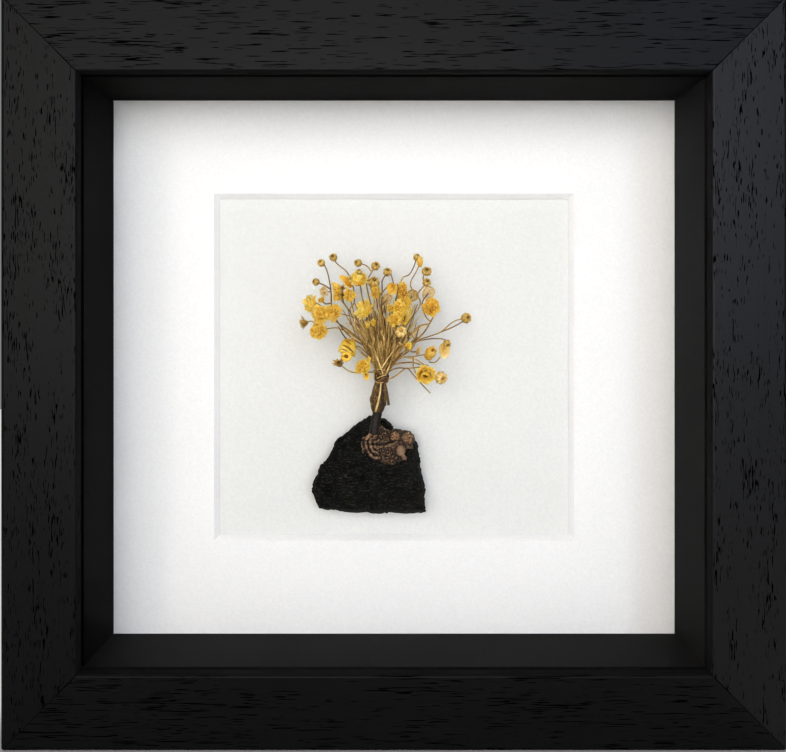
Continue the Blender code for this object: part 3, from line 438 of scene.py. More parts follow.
def black_stained_ash(name, along, pore_mm, shine):
    """Black stained ash, waxed: satin, with sparse open pores along the rail and a dull painted edge."""
    made, tree, shader = new_material(name, 0.4)
    place = add_node(tree, "TexCoord").outputs["Object"]

    def grain(long_mm, wide_mm, detail, shift=0.0):
        """Noise drawn out along the rail."""
        scale = [1000 / wide_mm] * 3
        scale["XYZ".index(along)] = 1000 / long_mm
        run = add_node(tree, "Mapping", {"Vector": place, "Scale": scale, "Location": (shift, 0, shift)})
        return add_node(tree, "TexNoise", {"Vector": run.outputs["Vector"], "Scale": 1.0,
                                           "Detail": detail}).outputs["Fac"]

    # Pores are drawn a little wider than real ones, so that they show, and lie in groups of about 18 mm
    pores = grain(pore_mm, 0.37, 1.0)
    groups = grain(18.0, 3.0, 2.0, 3.0)
    fibres = grain(30.0, 0.22, 2.0, 7.0)
    sparse = add_node(tree, "Math", {0: groups, 1: 0.5, 2: pores}, operation="MULTIPLY_ADD")
    pore = add_node(tree, "MapRange", {"Value": sparse.outputs["Value"], "From Min": 0.57,
                                       "From Max": 0.595}).outputs["Result"]
    stained = add_node(tree, "ValToRGB", {"Fac": fibres}, [(0.3, "#0A0A0B"), (0.7, "#111112")])
    face = add_node(tree, "Mix", {"Factor": pore, MIX_A: colour("#040404"), MIX_B: stained.outputs["Color"]},
                    data_type="RGBA")

    # The sight edge, next to the glass, is painted instead of waxed
    middle, reach = (0.0, SIGHT_X) if along == "Z" else (FRAME_MIDDLE, SIGHT_Z)
    axis = add_node(tree, "SeparateXYZ", {"Vector": place}).outputs["X" if along == "Z" else "Z"]
    off = add_node(tree, "Math", {0: axis, 1: middle * MM}, operation="SUBTRACT")
    away = add_node(tree, "Math", {0: off.outputs["Value"]}, operation="ABSOLUTE")
    edge = add_node(tree, "MapRange", {"Value": away.outputs["Value"], "From Min": (reach + 0.05) * MM,
                                       "From Max": (reach + 0.3) * MM}).outputs["Result"]
    painted = add_node(tree, "Mix", {"Factor": edge, MIX_A: colour("#1E1E1E"), MIX_B: face.outputs[MIXED]},
                       data_type="RGBA")
    rough = add_node(tree, "MapRange", {"Value": edge, "To Min": 0.95, "To Max": 0.4})
    # Specular level: the wax's sheen, raised on the right stile as painted sheen
    wax = add_node(tree, "MapRange", {"Value": pore, "To Min": 0.0, "To Max": shine})
    bump = add_node(tree, "Bump", {"Height": pore, "Strength": 1.0, "Distance": 0.15 * MM})
    tree.links.new(painted.outputs[MIXED], shader.inputs["Base Color"])
    tree.links.new(rough.outputs["Result"], shader.inputs["Roughness"])
    tree.links.new(wax.outputs["Result"], shader.inputs["Specular IOR Level"])
    tree.links.new(bump.outputs["Normal"], shader.inputs["Normal"])
    return made


def speckled(name, roughness, grain_mm, dark, light, bump_mm=0.0, metallic=0.0, sheen=0.5):
    """A plain surface whose colour wavers between two tones at one grain size, with a little relief."""
    made, tree, shader = new_material(name, roughness, metallic)
    shader.inputs["Specular IOR Level"].default_value = sheen
    place = add_node(tree, "TexCoord").outputs["Object"]
    grain = add_node(tree, "TexNoise", {"Vector": place, "Scale": 1000 / grain_mm, "Detail": 4.0})
    tone = add_node(tree, "ValToRGB", {"Fac": grain.outputs["Fac"]}, [(0.35, dark), (0.65, light)])
    tree.links.new(tone.outputs["Color"], shader.inputs["Base Color"])
    if bump_mm:
        bump = add_node(tree, "Bump", {"Height": grain.outputs["Fac"], "Strength": 0.6,
                                       "Distance": bump_mm * MM})
        tree.links.new(bump.outputs["Normal"], shader.inputs["Normal"])
    return made


def museum_glass():
    """Museum glass, coated against reflections: clear face on, with only a faint sheen at a slant."""
    made, _, shader = new_material("museum_glass", 0.0)
    shader.inputs["Base Color"].default_value = colour("#FFFFFF")
    shader.inputs["Transmission Weight"].default_value = 1.0
    shader.inputs["IOR"].default_value = 1.03
    return made


def dried_part(name, roughness, grain_mm, places, tones, subsurface=0.0):
    """Dried plant tissue: papery, its colour running with its tone from dark, partly painted shade in folds
    and at feet, to bright tips.
    """
    made, tree, shader = new_material(name, roughness)
    place = add_node(tree, "TexCoord").outputs["Object"]
    tone = add_node(tree, "Attribute", attribute_name="tone")
    grain = add_node(tree, "TexNoise", {"Vector": place, "Scale": 1000 / grain_mm, "Detail": 3.0})
    waver = add_node(tree, "MapRange", {"Value": grain.outputs["Fac"], "From Min": 0.3, "From Max": 0.7,
                                        "To Min": -0.14, "To Max": 0.14})
    mixed = add_node(tree, "Math", {0: tone.outputs["Fac"], 1: waver.outputs["Result"]}, operation="ADD")
    ramp = add_node(tree, "ValToRGB", {"Fac": mixed.outputs["Value"]}, list(zip(places, tones)))
    tree.links.new(ramp.outputs["Color"], shader.inputs["Base Color"])
    if subsurface:
        shader.inputs["Subsurface Weight"].default_value = subsurface
        shader.inputs["Subsurface Radius"].default_value = (1.0, 0.6, 0.2)
        shader.inputs["Subsurface Scale"].default_value = 0.4 * MM
    return made


def broken_slate():
    """Black slate, broken by hand: dull, nearly black, with olive-grey flecks and a few pale scratches."""
    made, tree, shader = new_material("broken_slate", 0.85)
    shader.inputs["Specular IOR Level"].default_value = 0.2
    place = add_node(tree, "TexCoord").outputs["Object"]
    cloud = add_node(tree, "TexNoise", {"Vector": place, "Scale": 1000 / 4.0, "Detail": 6.0,
                                        "Roughness": 0.65}).outputs["Fac"]
    tone = add_node(tree, "ValToRGB", {"Fac": cloud},
                    [(0.38, "#080808"), (0.54, "#0E0E0E"), (0.7, "#1A1A18")])
    flecks = add_node(tree, "TexNoise", {"Vector": place, "Scale": 1000 / 0.7, "Detail": 2.0})
    fleck = add_node(tree, "MapRange", {"Value": flecks.outputs["Fac"], "From Min": 0.63, "From Max": 0.69})
    mixed = add_node(tree, "Mix", {"Factor": fleck.outputs["Result"], MIX_A: tone.outputs["Color"],
                                   MIX_B: colour("#44423A")}, data_type="RGBA")
    slanted = add_node(tree, "Mapping", {"Vector": place, "Rotation": (0.3, 0.9, 0.4),
                                         "Scale": (1000 / 2.2, 1000 / 1.5, 1000 / 0.3)})
    scratches = add_node(tree, "TexNoise", {"Vector": slanted.outputs["Vector"], "Scale": 1.0,
                                            "Detail": 1.0})
    scratch = add_node(tree, "MapRange", {"Value": scratches.outputs["Fac"], "From Min": 0.62,
                                          "From Max": 0.67})
    scored = add_node(tree, "Mix", {"Factor": scratch.outputs["Result"], MIX_A: mixed.outputs[MIXED],
                                    MIX_B: colour("#403D30")}, data_type="RGBA")
    bump = add_node(tree, "Bump", {"Height": cloud, "Strength": 0.7, "Distance": 0.25 * MM})
    tree.links.new(scored.outputs[MIXED], shader.inputs["Base Color"])
    tree.links.new(bump.outputs["Normal"], shader.inputs["Normal"])
    return made


# Shapes of the dried pieces

def spot(x, z, depth):
    """The place in metres that is seen at x and z on the plan when it lies at this depth."""
    spread = (EYE_DISTANCE + depth) / (EYE_DISTANCE + PLAN_DEPTH)
    across, up = x + PLAN_SHIFT[0], z + PLAN_SHIFT[1] - EYE_HEIGHT
    return Vector((across * spread, depth - FRAME_D / 2, EYE_HEIGHT + up * spread)) * MM


def about(angle, reach, height):
    """A point at an angle about +Z, at a reach from it and a height along it."""
    return Vector((math.cos(angle) * reach, math.sin(angle) * reach, height))


def bounded(tone):
    """A tone kept between 0 and 1."""
    return min(1.0, max(0.0, tone))


def new_build():
    """Points, faces, tones and face materials of a piece in the making."""
    return {"points": [], "faces": [], "tones": [], "kinds": []}


def add_rings(build, rings, tones, kind=0):
    """Skins rings of points, with one tone for each ring or each point, and caps both ends."""
    start = len(build["points"])
    count = len(rings[0])
    for ring, tone in zip(rings, tones):
        build["points"] += ring
        build["tones"] += tone if isinstance(tone, list) else [tone] * count
    last = start + (len(rings) - 1) * count
    for low in range(start, last, count):
        for i in range(count):
            j = (i + 1) % count
            build["faces"].append((low + i, low + j, low + count + j, low + count + i))
    build["faces"].append(tuple(range(start + count - 1, start - 1, -1)))
    build["faces"].append(tuple(range(last, last + count)))
    build["kinds"] += [kind] * (len(build["faces"]) - len(build["kinds"]))


def finish_piece(build, name, materials, node, smooth=True):
    """Makes the piece's object, with its faces turned out, in place of the frame's own node."""
    mesh = bpy.data.meshes.new(name)
    mesh.from_pydata([tuple(point) for point in build["points"]], [], build["faces"])
    mesh.polygons.foreach_set("material_index", build["kinds"])
    tone = mesh.attributes.new("tone", "FLOAT", "POINT")
    tone.data.foreach_set("value", build["tones"])
    shape = bmesh.new()
    shape.from_mesh(mesh)
    bmesh.ops.recalc_face_normals(shape, faces=shape.faces)
    shape.to_mesh(mesh)
    shape.free()
    for material in materials:
        mesh.materials.append(material)
    if smooth:
        mesh.shade_smooth()
    piece = bpy.data.objects.new(name, mesh)
    bpy.context.scene.collection.objects.link(piece)
    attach(piece, "root")
    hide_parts(node)
    return piece


def curve_through(points, steps=5):
    """A smooth curve through the points."""
    last = len(points) - 1
    made = []
    for i in range(last):
        a, b, c, d = (points[min(max(i + k, 0), last)] for k in (-1, 0, 1, 2))
        for step in range(steps):
            t = step / steps
            made.append((b * 2 + (c - a) * t + (a * 2 - b * 5 + c * 4 - d) * t * t
                         + (b * 3 - a - c * 3 + d) * t ** 3) / 2)
    return made + [points[-1]]


def tube_rings(path, radii, sides):
    """Rings of points round a path, each square to the way it runs there. Radii are in millimetres."""
    rings = []
    side = None
    for i, point in enumerate(path):
        ahead = (path[min(i + 1, len(path) - 1)] - path[max(i - 1, 0)]).normalized()
        if side is None:
            side = ahead.cross(Vector((0.0, 1.0, 0.1))).normalized()
        side = (side - ahead * side.dot(ahead)).normalized()
        up = ahead.cross(side)
        ring = []
        for k in range(sides):
            angle = math.tau * k / sides
            ring.append(point + (side * math.cos(angle) + up * math.sin(angle)) * radii[i] * MM)
        rings.append(ring)
    return rings


def add_strand(build, path, thick, tip, tones, chance, kind=0, sides=6):
    """A dry stem along a path: it thins to its tip, wavers a little, and its tone runs from foot to tip."""
    count = len(path)
    radii = []
    row_tones = []
    shift = chance.uniform(0, 100)
    for i in range(count):
        share = i / (count - 1)
        waver = noise.noise(Vector((shift, share * count * 0.35, 0)))
        radii.append((thick + (tip - thick) * share) * (1 + 0.2 * waver))
        row_tones.append(bounded(tones[0] + (tones[1] - tones[0]) * share + 0.3 * waver))
    add_rings(build, tube_rings(path, radii, sides), row_tones, kind)


def shaped_grid(name, across, along, shape_point, thickness):
    """A grid bent by a rule from (side, height) to a point, given a thickness, as points and faces."""
    bpy.ops.object.select_all(action="DESELECT")
    bpy.ops.mesh.primitive_grid_add(x_subdivisions=across, y_subdivisions=along, size=2.0)
    made = bpy.context.object
    made.name = name
    for vertex in made.data.vertices:
        vertex.co = shape_point(vertex.co.x, (vertex.co.y + 1) / 2)
    wall = made.modifiers.new("thickness", "SOLIDIFY")
    wall.thickness = thickness
    wall.offset = 0.0
    bpy.ops.object.modifier_apply(modifier="thickness")
    points = [vertex.co.copy() for vertex in made.data.vertices]
    faces = [tuple(polygon.vertices) for polygon in made.data.polygons]
    bpy.data.objects.remove(made, do_unlink=True)
    return points, faces


def floret_point(side, height):
    """A narrow papery floret, cupped along its middle, its toothed tip bent back."""
    half = 0.2 * math.sin(math.pi * min(1.0, 0.14 + height * 0.74)) + 0.03
    ragged = 0.12 * abs(side) * height ** 4
    return Vector((side * half, 0.5 * side * side * half - 0.14 * height ** 3, height - ragged))


def petal_point(side, height):
    """A broad petal that cups up from a narrow foot and ruffles at its torn rim."""
    half = 0.5 * math.sin(math.pi * min(1.0, 0.1 + height * 0.7)) ** 0.8
    ruffle = 0.07 * math.sin(side * 8.0) * height * height
    torn = 0.07 * math.cos(side * 11.0) * height ** 3
    return Vector((side * half, 0.42 * side * side * half + 0.3 * (1 - math.cos(height * 1.3)) + ruffle,
                   height - 0.12 * side * side * height + torn))


FLORET = shaped_grid("floret", 3, 5, floret_point, 0.035)
PETAL = shaped_grid("petal", 6, 6, petal_point, 0.03)


def add_copy(build, master, place, low, high, kind, chance, fade=1.0):
    """A copy of a modelled petal at a place. Its tone runs from low at its foot to high at its tip."""
    points, faces = master
    start = len(build["points"])
    tip = max(point.z for point in points)
    foot = min(point.z for point in points)
    bias = chance.uniform(-0.12, 0.12)
    for point in points:
        share = (point.z - foot) / (tip - foot)
        build["points"].append(place @ point)
        build["tones"].append(bounded(low + (high - low) * share ** fade + bias))
    build["faces"] += [tuple(start + i for i in face) for face in faces]
    build["kinds"] += [kind] * len(faces)


def axis_of(top):
    """The direction of a head's axis."""
    aim, face = math.radians(top["aim"]), math.radians(top["face"])
    return Vector((math.cos(aim) * math.cos(face), -math.sin(face), math.sin(aim) * math.cos(face)))


def facing(axis):
    """The front, and the direction across a head with this axis as the front sees it."""
    front = Vector((0.0, -1.0, 0.0))
    return front, axis.cross(front).normalized()


def pointing(direction, twist):
    """A turn that takes +Z to a direction, after a twist about +Z."""
    return direction.to_track_quat("Z", "Y").to_matrix().to_4x4() @ Matrix.Rotation(twist, 4, "Z")


def sized(place, size, wide):
    """A petal's place, scaled to its size and widened."""
    return place @ Matrix.Scale(size, 4) @ Matrix.Diagonal((wide, 1.0, 1.0, 1.0))


def add_core(build, middle, turn, radius, tones, kind, chance, around=12, levels=7):
    """A lumpy ball about the turned axis. radius is (across, along), and tones go from foot to top."""
    rings = []
    row_tones = []
    shift = Vector((chance.uniform(0, 50), 0.0, 0.0))
    for level in range(levels + 1):
        angle = math.pi * (level + 0.01) / (levels + 0.02)
        ring = []
        for i in range(around):
            local = about(math.tau * i / around, math.sin(angle), -math.cos(angle))
            lump = 1.0 + 0.16 * noise.noise(local * 2.2 + shift)
            local = Vector((local.x * radius[0], local.y * radius[0], local.z * radius[1])) * lump
            ring.append(middle + turn @ (local * MM))
        rings.append(ring)
        share = level / levels * (len(tones) - 1)
        low = min(int(share), len(tones) - 2)
        row_tones.append(tones[low] + (tones[low + 1] - tones[low]) * (share - low))
    add_rings(build, rings, row_tones, kind)


# Half section of a bud from its foot to its eye: share of its width, height and tone
BUD_PROFILE = [
    (0.16, -1.0, 0.1), (0.5, -0.9, 0.15), (0.84, -0.56, 0.36), (1.0, -0.1, 0.5), (0.98, 0.28, 0.62),
    (0.84, 0.62, 0.8), (0.62, 0.86, 0.86), (0.42, 0.95, 0.62), (0.28, 0.88, 0.3), (0.2, 0.72, 0.16),
    (0.02, 0.66, 0.12),
]


def build_bud(build, top, middle, kind, chance):
    """A round bud: ribbed, darker at its foot, its bracts closing round a dark eye."""
    turn = pointing(axis_of(top), chance.uniform(0, math.tau)).to_3x3()
    across, along = top["width"] / 2, top["length"] / 2
    ribs = chance.choice((7, 8, 9))
    around = ribs * 4
    rings = []
    tones = []
    for share, height, tone in BUD_PROFILE:
        ring = []
        ring_tones = []
        for i in range(around):
            angle = math.tau * i / around
            rib = math.cos(angle * ribs) * (share > 0.3)
            local = about(angle, 1.0, height)
            dent = 0.12 * noise.noise(local * 1.4 + middle * 3000)
            reach = across * share * (1.0 + 0.08 * rib + dent)
            local = Vector((local.x * reach, local.y * reach, height * along * (1 + dent)))
            ring.append(middle + turn @ (local * MM))
            # Ribs are painted lighter on their ridges, painted light; the darker foot and eye from the
            # profile are partly the bud's own brown and partly painted shade
            ring_tones.append(bounded(tone + 0.16 * rib * (tone > 0.3)))
        rings.append(ring)
        tones.append(ring_tones)
    add_rings(build, rings, tones, kind)
    for i in range(ribs):
        angle = math.tau * (i + 0.5) / ribs
        foot = about(angle, across * 0.7, along * 0.66) * MM
        lean = about(angle, -chance.uniform(0.1, 1.0), 0.7).normalized()
        size = across * 0.5 * MM * chance.uniform(0.7, 1.2)
        place = Matrix.Translation(middle + turn @ foot) @ pointing(turn @ lean, 0.0) @ Matrix.Scale(size, 4)
        add_copy(build, FLORET, place, 0.5, 0.8, kind, chance)


def build_pom(build, top, middle, kind, chance):
    """A full head: many toothed florets standing out all round from a core; core and floret feet are painted
    darker, painted shade.
    """
    turn = pointing(axis_of(top), 0.0).to_3x3()
    across, along = top["width"] / 2, top["length"] / 2
    add_core(build, middle, turn, (across * 0.68, along * 0.7), [0.1, 0.2, 0.3, 0.35], kind, chance)
    count = int(46 + 12 * across * along)
    shift = Vector((chance.uniform(0, 50), 3.0, 7.0))
    for i in range(count):
        height = 1.0 - 1.8 * (i + 0.5) / count
        flat = math.sqrt(max(0.0, 1 - height * height))
        out = about(i * GOLDEN_ANGLE + chance.uniform(-0.4, 0.4), flat, height)
        reach = chance.uniform(0.84, 1.08) * (1.0 + 0.3 * noise.noise(out * 1.5 + shift))
        full = Vector((out.x * across, out.y * across, out.z * along))
        foot = full * 0.45
        run = full * reach - foot
        jog = Vector([chance.uniform(-0.4, 0.4) for _ in range(3)])
        lean = (run.normalized() + jog).normalized()
        wide = chance.uniform(1.0, 1.9)
        spin = pointing(turn @ lean, chance.uniform(0, math.tau))
        place = sized(Matrix.Translation(middle + turn @ (foot * MM)) @ spin, run.length * 1.1 * MM, wide)
        add_copy(build, FLORET, place, 0.1, 0.95, kind, chance, 0.8)


def add_whorl(build, held, whorl, kind, chance):
    """A whorl of petals about a head's axis. held is the head's middle, turn, half width and length."""
    middle, turn, across, along = held
    master, count, tilt, foot_out, foot_up, reach, wide, tones = whorl
    start = chance.uniform(0, math.tau)
    for i in range(count):
        angle = start + math.tau * (i + chance.uniform(-0.25, 0.25)) / count
        slope = math.radians(tilt + chance.uniform(-9, 9))
        foot = about(angle, across * foot_out, along * foot_up)
        spin = pointing(about(angle, math.sin(slope), math.cos(slope)), 0.0)
        inner = spin.to_3x3().inverted() @ about(angle, -1.0, 0.0)
        spin = spin @ Matrix.Rotation(math.atan2(inner.y, inner.x) - math.pi / 2, 4, "Z")
        size = along * reach * chance.uniform(0.84, 1.12)
        place = Matrix.Translation(middle + turn @ (foot * MM)) @ turn.to_4x4() @ spin
        place = sized(place, size * MM, across * wide / size)
        add_copy(build, master, place, tones[0], tones[1], kind, chance, 0.7)


# Heads made of whorls, in shares of the head's half width and length. Each has a core (how far it is sunk,
# its width, height and tones) and whorls (petal, count, tilt, how far out and up their feet are, length,
# width, tones). A cup is open round a hollow whose sunk core is painted dark, painted shade; a fold is
# closed, and a calyx is a cup of spiky bracts
WHORLED_HEADS = {
    "cup": ((0.3, 0.5, 0.2, [0.3, 0.1, 0.0, 0.0]), [
        (PETAL, 8, 44, 0.34, -0.44, 0.86, 1.1, (0.15, 1.0)),
        (PETAL, 8, 24, 0.3, -0.42, 0.8, 0.9, (0.1, 0.95)),
        (FLORET, 14, 58, 0.4, -0.3, 0.66, 1.3, (0.4, 1.0)),
    ]),
    "fold": ((0.0, 0.7, 0.42, [0.15, 0.35, 0.3, 0.05]), [
        (PETAL, 7, 12, 0.55, -0.5, 0.96, 1.3, (0.4, 0.95)),
        (PETAL, 6, 24, 0.5, -0.44, 0.66, 1.1, (0.35, 0.85)),
        (FLORET, 12, 6, 0.42, 0.02, 0.44, 0.8, (0.2, 0.9)),
    ]),
    "calyx": ((0.12, 0.72, 0.36, [0.45, 0.4, 0.3, 0.0]), [
        (FLORET, 9, 34, 0.5, -0.34, 0.8, 1.3, (0.7, 0.55)),
        (FLORET, 7, 8, 0.5, -0.2, 0.62, 1.2, (0.9, 0.6)),
    ]),
}
ROLL_WHORLS = [
    (PETAL, 9, 24, 0.56, -0.42, 0.56, 1.1, (0.2, 0.9)),
    (PETAL, 7, 16, 0.6, -0.2, 0.42, 1.0, (0.2, 0.9)),
]
# Slits of painted shade between the folds of a roll, as thin dark tubes: height, start and end across it,
# thickness
ROLL_SHADE_SLITS = [(-0.3, -0.35, 0.5, 0.2), (-0.1, -0.7, 0.62, 0.32), (0.06, -0.1, 0.7, 0.22)]


def build_whorled(build, top, middle, kind, chance):
    """A head of whorls round a core: an open cup, a closed fold or a spent calyx."""
    (sunk, wide, high, tones), whorls = WHORLED_HEADS[top["kind"]]
    axis = axis_of(top)
    turn = pointing(axis, 0.0 if top["kind"] == "calyx" else chance.uniform(0, 1)).to_3x3()
    across, along = top["width"] / 2, top["length"]
    sunken = middle - axis * along * sunk * MM
    add_core(build, sunken, turn, (across * wide, along * high), tones, kind, chance)
    for whorl in whorls:
        add_whorl(build, (middle, turn, across, along), whorl, kind, chance)


def build_petal(build, top, middle, kind, chance):
    """A large curled petal with two smaller ones behind it, seen flat."""
    axis = axis_of(top)
    reach = top["length"]
    side = facing(axis)[1]
    up = side.cross(axis).normalized()
    basis = Matrix((side, up, axis)).transposed().to_4x4()
    place = Matrix.Translation(middle - axis * reach * 0.5 * MM) @ basis
    place = sized(place, reach * MM, top["width"] / reach * 1.05)
    add_copy(build, PETAL, place, 0.45, 0.9, kind, chance)
    for turned, size in ((24, 0.8), (-20, 0.7)):
        tilted = place @ Matrix.Rotation(math.radians(turned), 4, "Y") @ Matrix.Scale(size, 4)
        add_copy(build, PETAL, tilted, 0.25, 0.75, kind, chance)


def build_lace(build, top, middle, kind, chance):
    """A petal worn down to its veins: a wiry rim, a midrib with side veins, and a curl in the middle."""
    axis = axis_of(top)
    front, side = facing(axis)
    across, along = top["width"] / 2, top["length"] / 2

    def on_petal(x, y):
        bulge = front * 0.3 * across * (1 - x * x) * math.sin(y * 2)
        return middle + (side * x * across + axis * y * along + bulge) * MM

    turns = [math.tau * i / 16 + math.pi for i in range(17)]
    rim = [on_petal(math.sin(a) * (0.78 + 0.22 * math.cos(a)), math.cos(a)) for a in turns]
    add_strand(build, curve_through(rim, 3), 0.3, 0.24, (0.4, 0.8), chance, kind, 5)
    add_strand(build, [on_petal(0, -1 + i * 0.3) for i in range(7)], 0.2, 0.12, (0.4, 0.7), chance, kind, 5)
    for i in range(7):
        height = -0.66 + i * 0.22
        for way in (-1, 1):
            reach = way * 0.8 * math.cos(height * 1.2)
            path = [on_petal(reach * t, height + 0.3 * t) for t in (0, 0.33, 0.66, 1.0)]
            add_strand(build, path, 0.16, 0.13, (0.4, 0.8), chance, kind, 4)
    curl = []
    for a in (i * 0.5 for i in range(18)):
        shrink = 1 - a / 11
        curl.append(on_petal(0.46 * math.cos(a) * shrink, 0.2 + 0.46 * math.sin(a) * shrink))
    add_strand(build, curl, 0.24, 0.14, (0.9, 0.6), chance, kind, 5)


def build_roll(build, top, middle, kind, chance):
    """A head curled up on itself: broad folds laid over one another, and a spiral at its open end."""
    axis = axis_of(top)
    front, side = facing(axis)
    across, along = top["width"] / 2, top["length"]
    turn = Matrix((side, front, axis)).transposed()
    sunken = middle - axis * along * 0.06 * MM
    add_core(build, sunken, turn, (across * 0.84, along * 0.38), [0.4, 0.7, 0.6, 0.4], kind, chance, 16, 10)
    for whorl in ROLL_WHORLS:
        add_whorl(build, (middle, turn, across, along), whorl, kind, chance)
    # Thin dark tubes between the folds: painted shade
    for place, start, end, thick in ROLL_SHADE_SLITS:
        slit = []
        for i in range(9):
            at = start + (end - start) * i / 8
            slit.append(middle + (side * across * at + axis * (along * place - 1.5 * at + 1.1 * at * at)
                                  + front * across * (1.02 - 0.4 * at * at)) * MM)
        radii = [thick * math.sin(math.pi * (i + 0.6) / 9.2) for i in range(9)]
        add_rings(build, tube_rings(slit, radii, 6), [0.0] * 9, kind)
    eye = middle + (axis * along * 0.28 + front * across * 0.7) * MM
    spiral = [eye + ((side * math.cos(a) + axis * math.sin(a)) * 1.25 + front * 0.16 * a) * MM
              for a in (i * 0.42 for i in range(16))]
    add_strand(build, spiral, 0.62, 0.5, (0.55, 0.75), chance, kind, 8)
    # A dark ball in the spiral's eye: painted shade in its opening
    add_core(build, eye, turn, (0.7, 0.7), [0.0, 0.1], kind, chance, 8, 5)


HEAD_BUILDERS = {
    "bud": build_bud, "pom": build_pom, "cup": build_whorled, "fold": build_whorled, "calyx": build_whorled,
    "petal": build_petal, "lace": build_lace, "roll": build_roll,
}


def stem_path(points, start_depth, tip_depth):
    """Gives each (x, z) a depth that changes evenly along the stem."""
    lengths = [0.0]
    for a, b in zip(points, points[1:]):
        lengths.append(lengths[-1] + math.dist(a, b))
    return [(x, z, start_depth + (tip_depth - start_depth) * run / lengths[-1])
            for (x, z), run in zip(points, lengths)]


def rooted(points):
    """The points of a stem, carried on down into the tie."""
    x, z = points[0]
    gathered = max(-GATHER_REACH, min(GATHER_REACH, GATHER_SHARE * (x - TIE_X)))
    path = [(TIE_X + gathered, min(GATHER_Z, z - 0.6))]
    if z > LONG_STEM_Z:
        path.append((x * 0.6 - 1.6, z - 5.5))
    return path + points


def nearest(paths, seen):
    """The point of the stems so far that is seen closest to an (x, z)."""
    points = []
    for path in paths:
        for a, b in zip(path, path[1:]):
            points += [tuple(p + (q - p) * step / 10 for p, q in zip(a, b)) for step in range(11)]
    return min(points, key=lambda point: math.dist(point[:2], seen))


def build_sprig(name, stems, materials):
    """A sprig with its stems, forks, buds and flower heads."""
    chance = random.Random(name)
    build = new_build()
    grown = []
    for each in stems:
        points = each["points"]
        if grown:
            start = nearest(grown, points[0])
            points = [start[:2]] + points[1:]
            depth = start[2]
        else:
            points = rooted(points)
            depth = BUNCH_DEPTH + (each["row"] - BUNCH_DEPTH) * 0.5
        path = stem_path(points, depth, each["tip"])
        grown.append(path)
        curve = curve_through([spot(*point) for point in path])
        tones = (chance.uniform(0.45, 0.8), chance.uniform(0.25, 0.6))
        add_strand(build, curve, each["thick"], each["thick"] * 0.72, tones, chance)
        top = each["head"]
        if top:
            HEAD_BUILDERS[top["kind"]](build, top, curve[-1], FINISHES.index(top["look"]), chance)
    return finish_piece(build, name + "_dried", materials, name)


def section_at(z):
    """Middle, half width and half depth of the bunch of stems at a height."""
    for low, high in zip(STEM_SECTIONS, STEM_SECTIONS[1:]):
        if z <= high[0]:
            share = (z - low[0]) / (high[0] - low[0])
            return tuple(a + (b - a) * share for a, b in zip(low[1:], high[1:]))
    return STEM_SECTIONS[-1][1:]


def build_stem_bunch(straw):
    """The stems of the bunch one by one, from their cut ends through the tie to the fan of stalks."""
    chance = random.Random(BUNCH_SEED)
    build = new_build()
    for number in range(THROUGH_STEMS + FAN_STEMS):
        through = number < THROUGH_STEMS
        angle = number * GOLDEN_ANGLE
        share = math.sqrt((number % THROUGH_STEMS + 0.5) / THROUGH_STEMS) * 0.94
        side, deep = share * math.cos(angle), share * math.sin(angle)
        path = []
        for z in STEM_HEIGHTS:
            if z >= (CUT_Z if through else IN_TIE_Z):
                x, half_w, half_d = section_at(z)
                path.append(spot(x + half_w * side, z, BUNCH_DEPTH + half_d * deep))
        below = len(path) - 2
        x, half_w, half_d = section_at(FAN_Z)
        lean = math.radians(side * FAN_LEAN + chance.uniform(-FAN_JOG, FAN_JOG))
        reach = chance.uniform(*FAN_LENGTHS) * (1 - 0.3 * abs(side))
        start_x, start_depth = x + half_w * side, BUNCH_DEPTH + half_d * deep
        end_depth = min(FAN_DEPTHS[1], max(FAN_DEPTHS[0], start_depth + reach * deep * 0.3))
        bow = chance.uniform(-1.6, 1.6)
        for part in (0.25, 0.5, 0.75, 1.0):
            out = reach * part
            drift = bow * math.sin(math.pi * part) + 0.5 * math.sin(part * 7 + number)
            path.append(spot(start_x + out * math.sin(lean) + drift * math.cos(lean),
                             FAN_Z + out * math.cos(lean) - drift * math.sin(lean),
                             start_depth + (end_depth - start_depth) * part))
        top_tone = chance.choice((0.5, 0.75, 0.95, 1.0)) + chance.uniform(-0.08, 0.08)
        if through:
            # Stems through the tie are darker, partly their own brown and partly painted shade for the gaps
            # between them
            dark = chance.choice((0.0, 0.0, 0.08, 0.16, 0.3))
            add_strand(build, curve_through(path[:below + 2], 4), chance.uniform(0.42, 0.54), 0.34,
                       (dark, dark + 0.1), chance, sides=7)
            path = path[below:]
        add_strand(build, curve_through(path, 4), chance.uniform(0.27, 0.36), chance.uniform(0.14, 0.24),
                   (top_tone - 0.34, top_tone), chance)
    bright = [spot(*point) for point in BRIGHT_STRAW]
    add_strand(build, curve_through(bright), 0.26, 0.38, (0.9, 0.75), chance)
    for stub in STUBS:
        add_strand(build, curve_through([spot(*point) for point in stub]), 0.42, 0.46, (0.35, 0.15), chance)
    upright = Matrix.Rotation(0.2, 3, "Y")
    add_core(build, spot(*KNOT), upright, (0.62, 0.95), [0.3, 0.45, 0.4], 0, chance, 10, 6)
    # The dark ball in the knot's hole is painted shade
    add_core(build, spot(*KNOT_HOLE_SHADE), upright, (0.34, 0.5), [0.0, 0.0], 0, chance, 8, 5)
    return finish_piece(build, "bunch_stems", [straw], "stem_bunch")


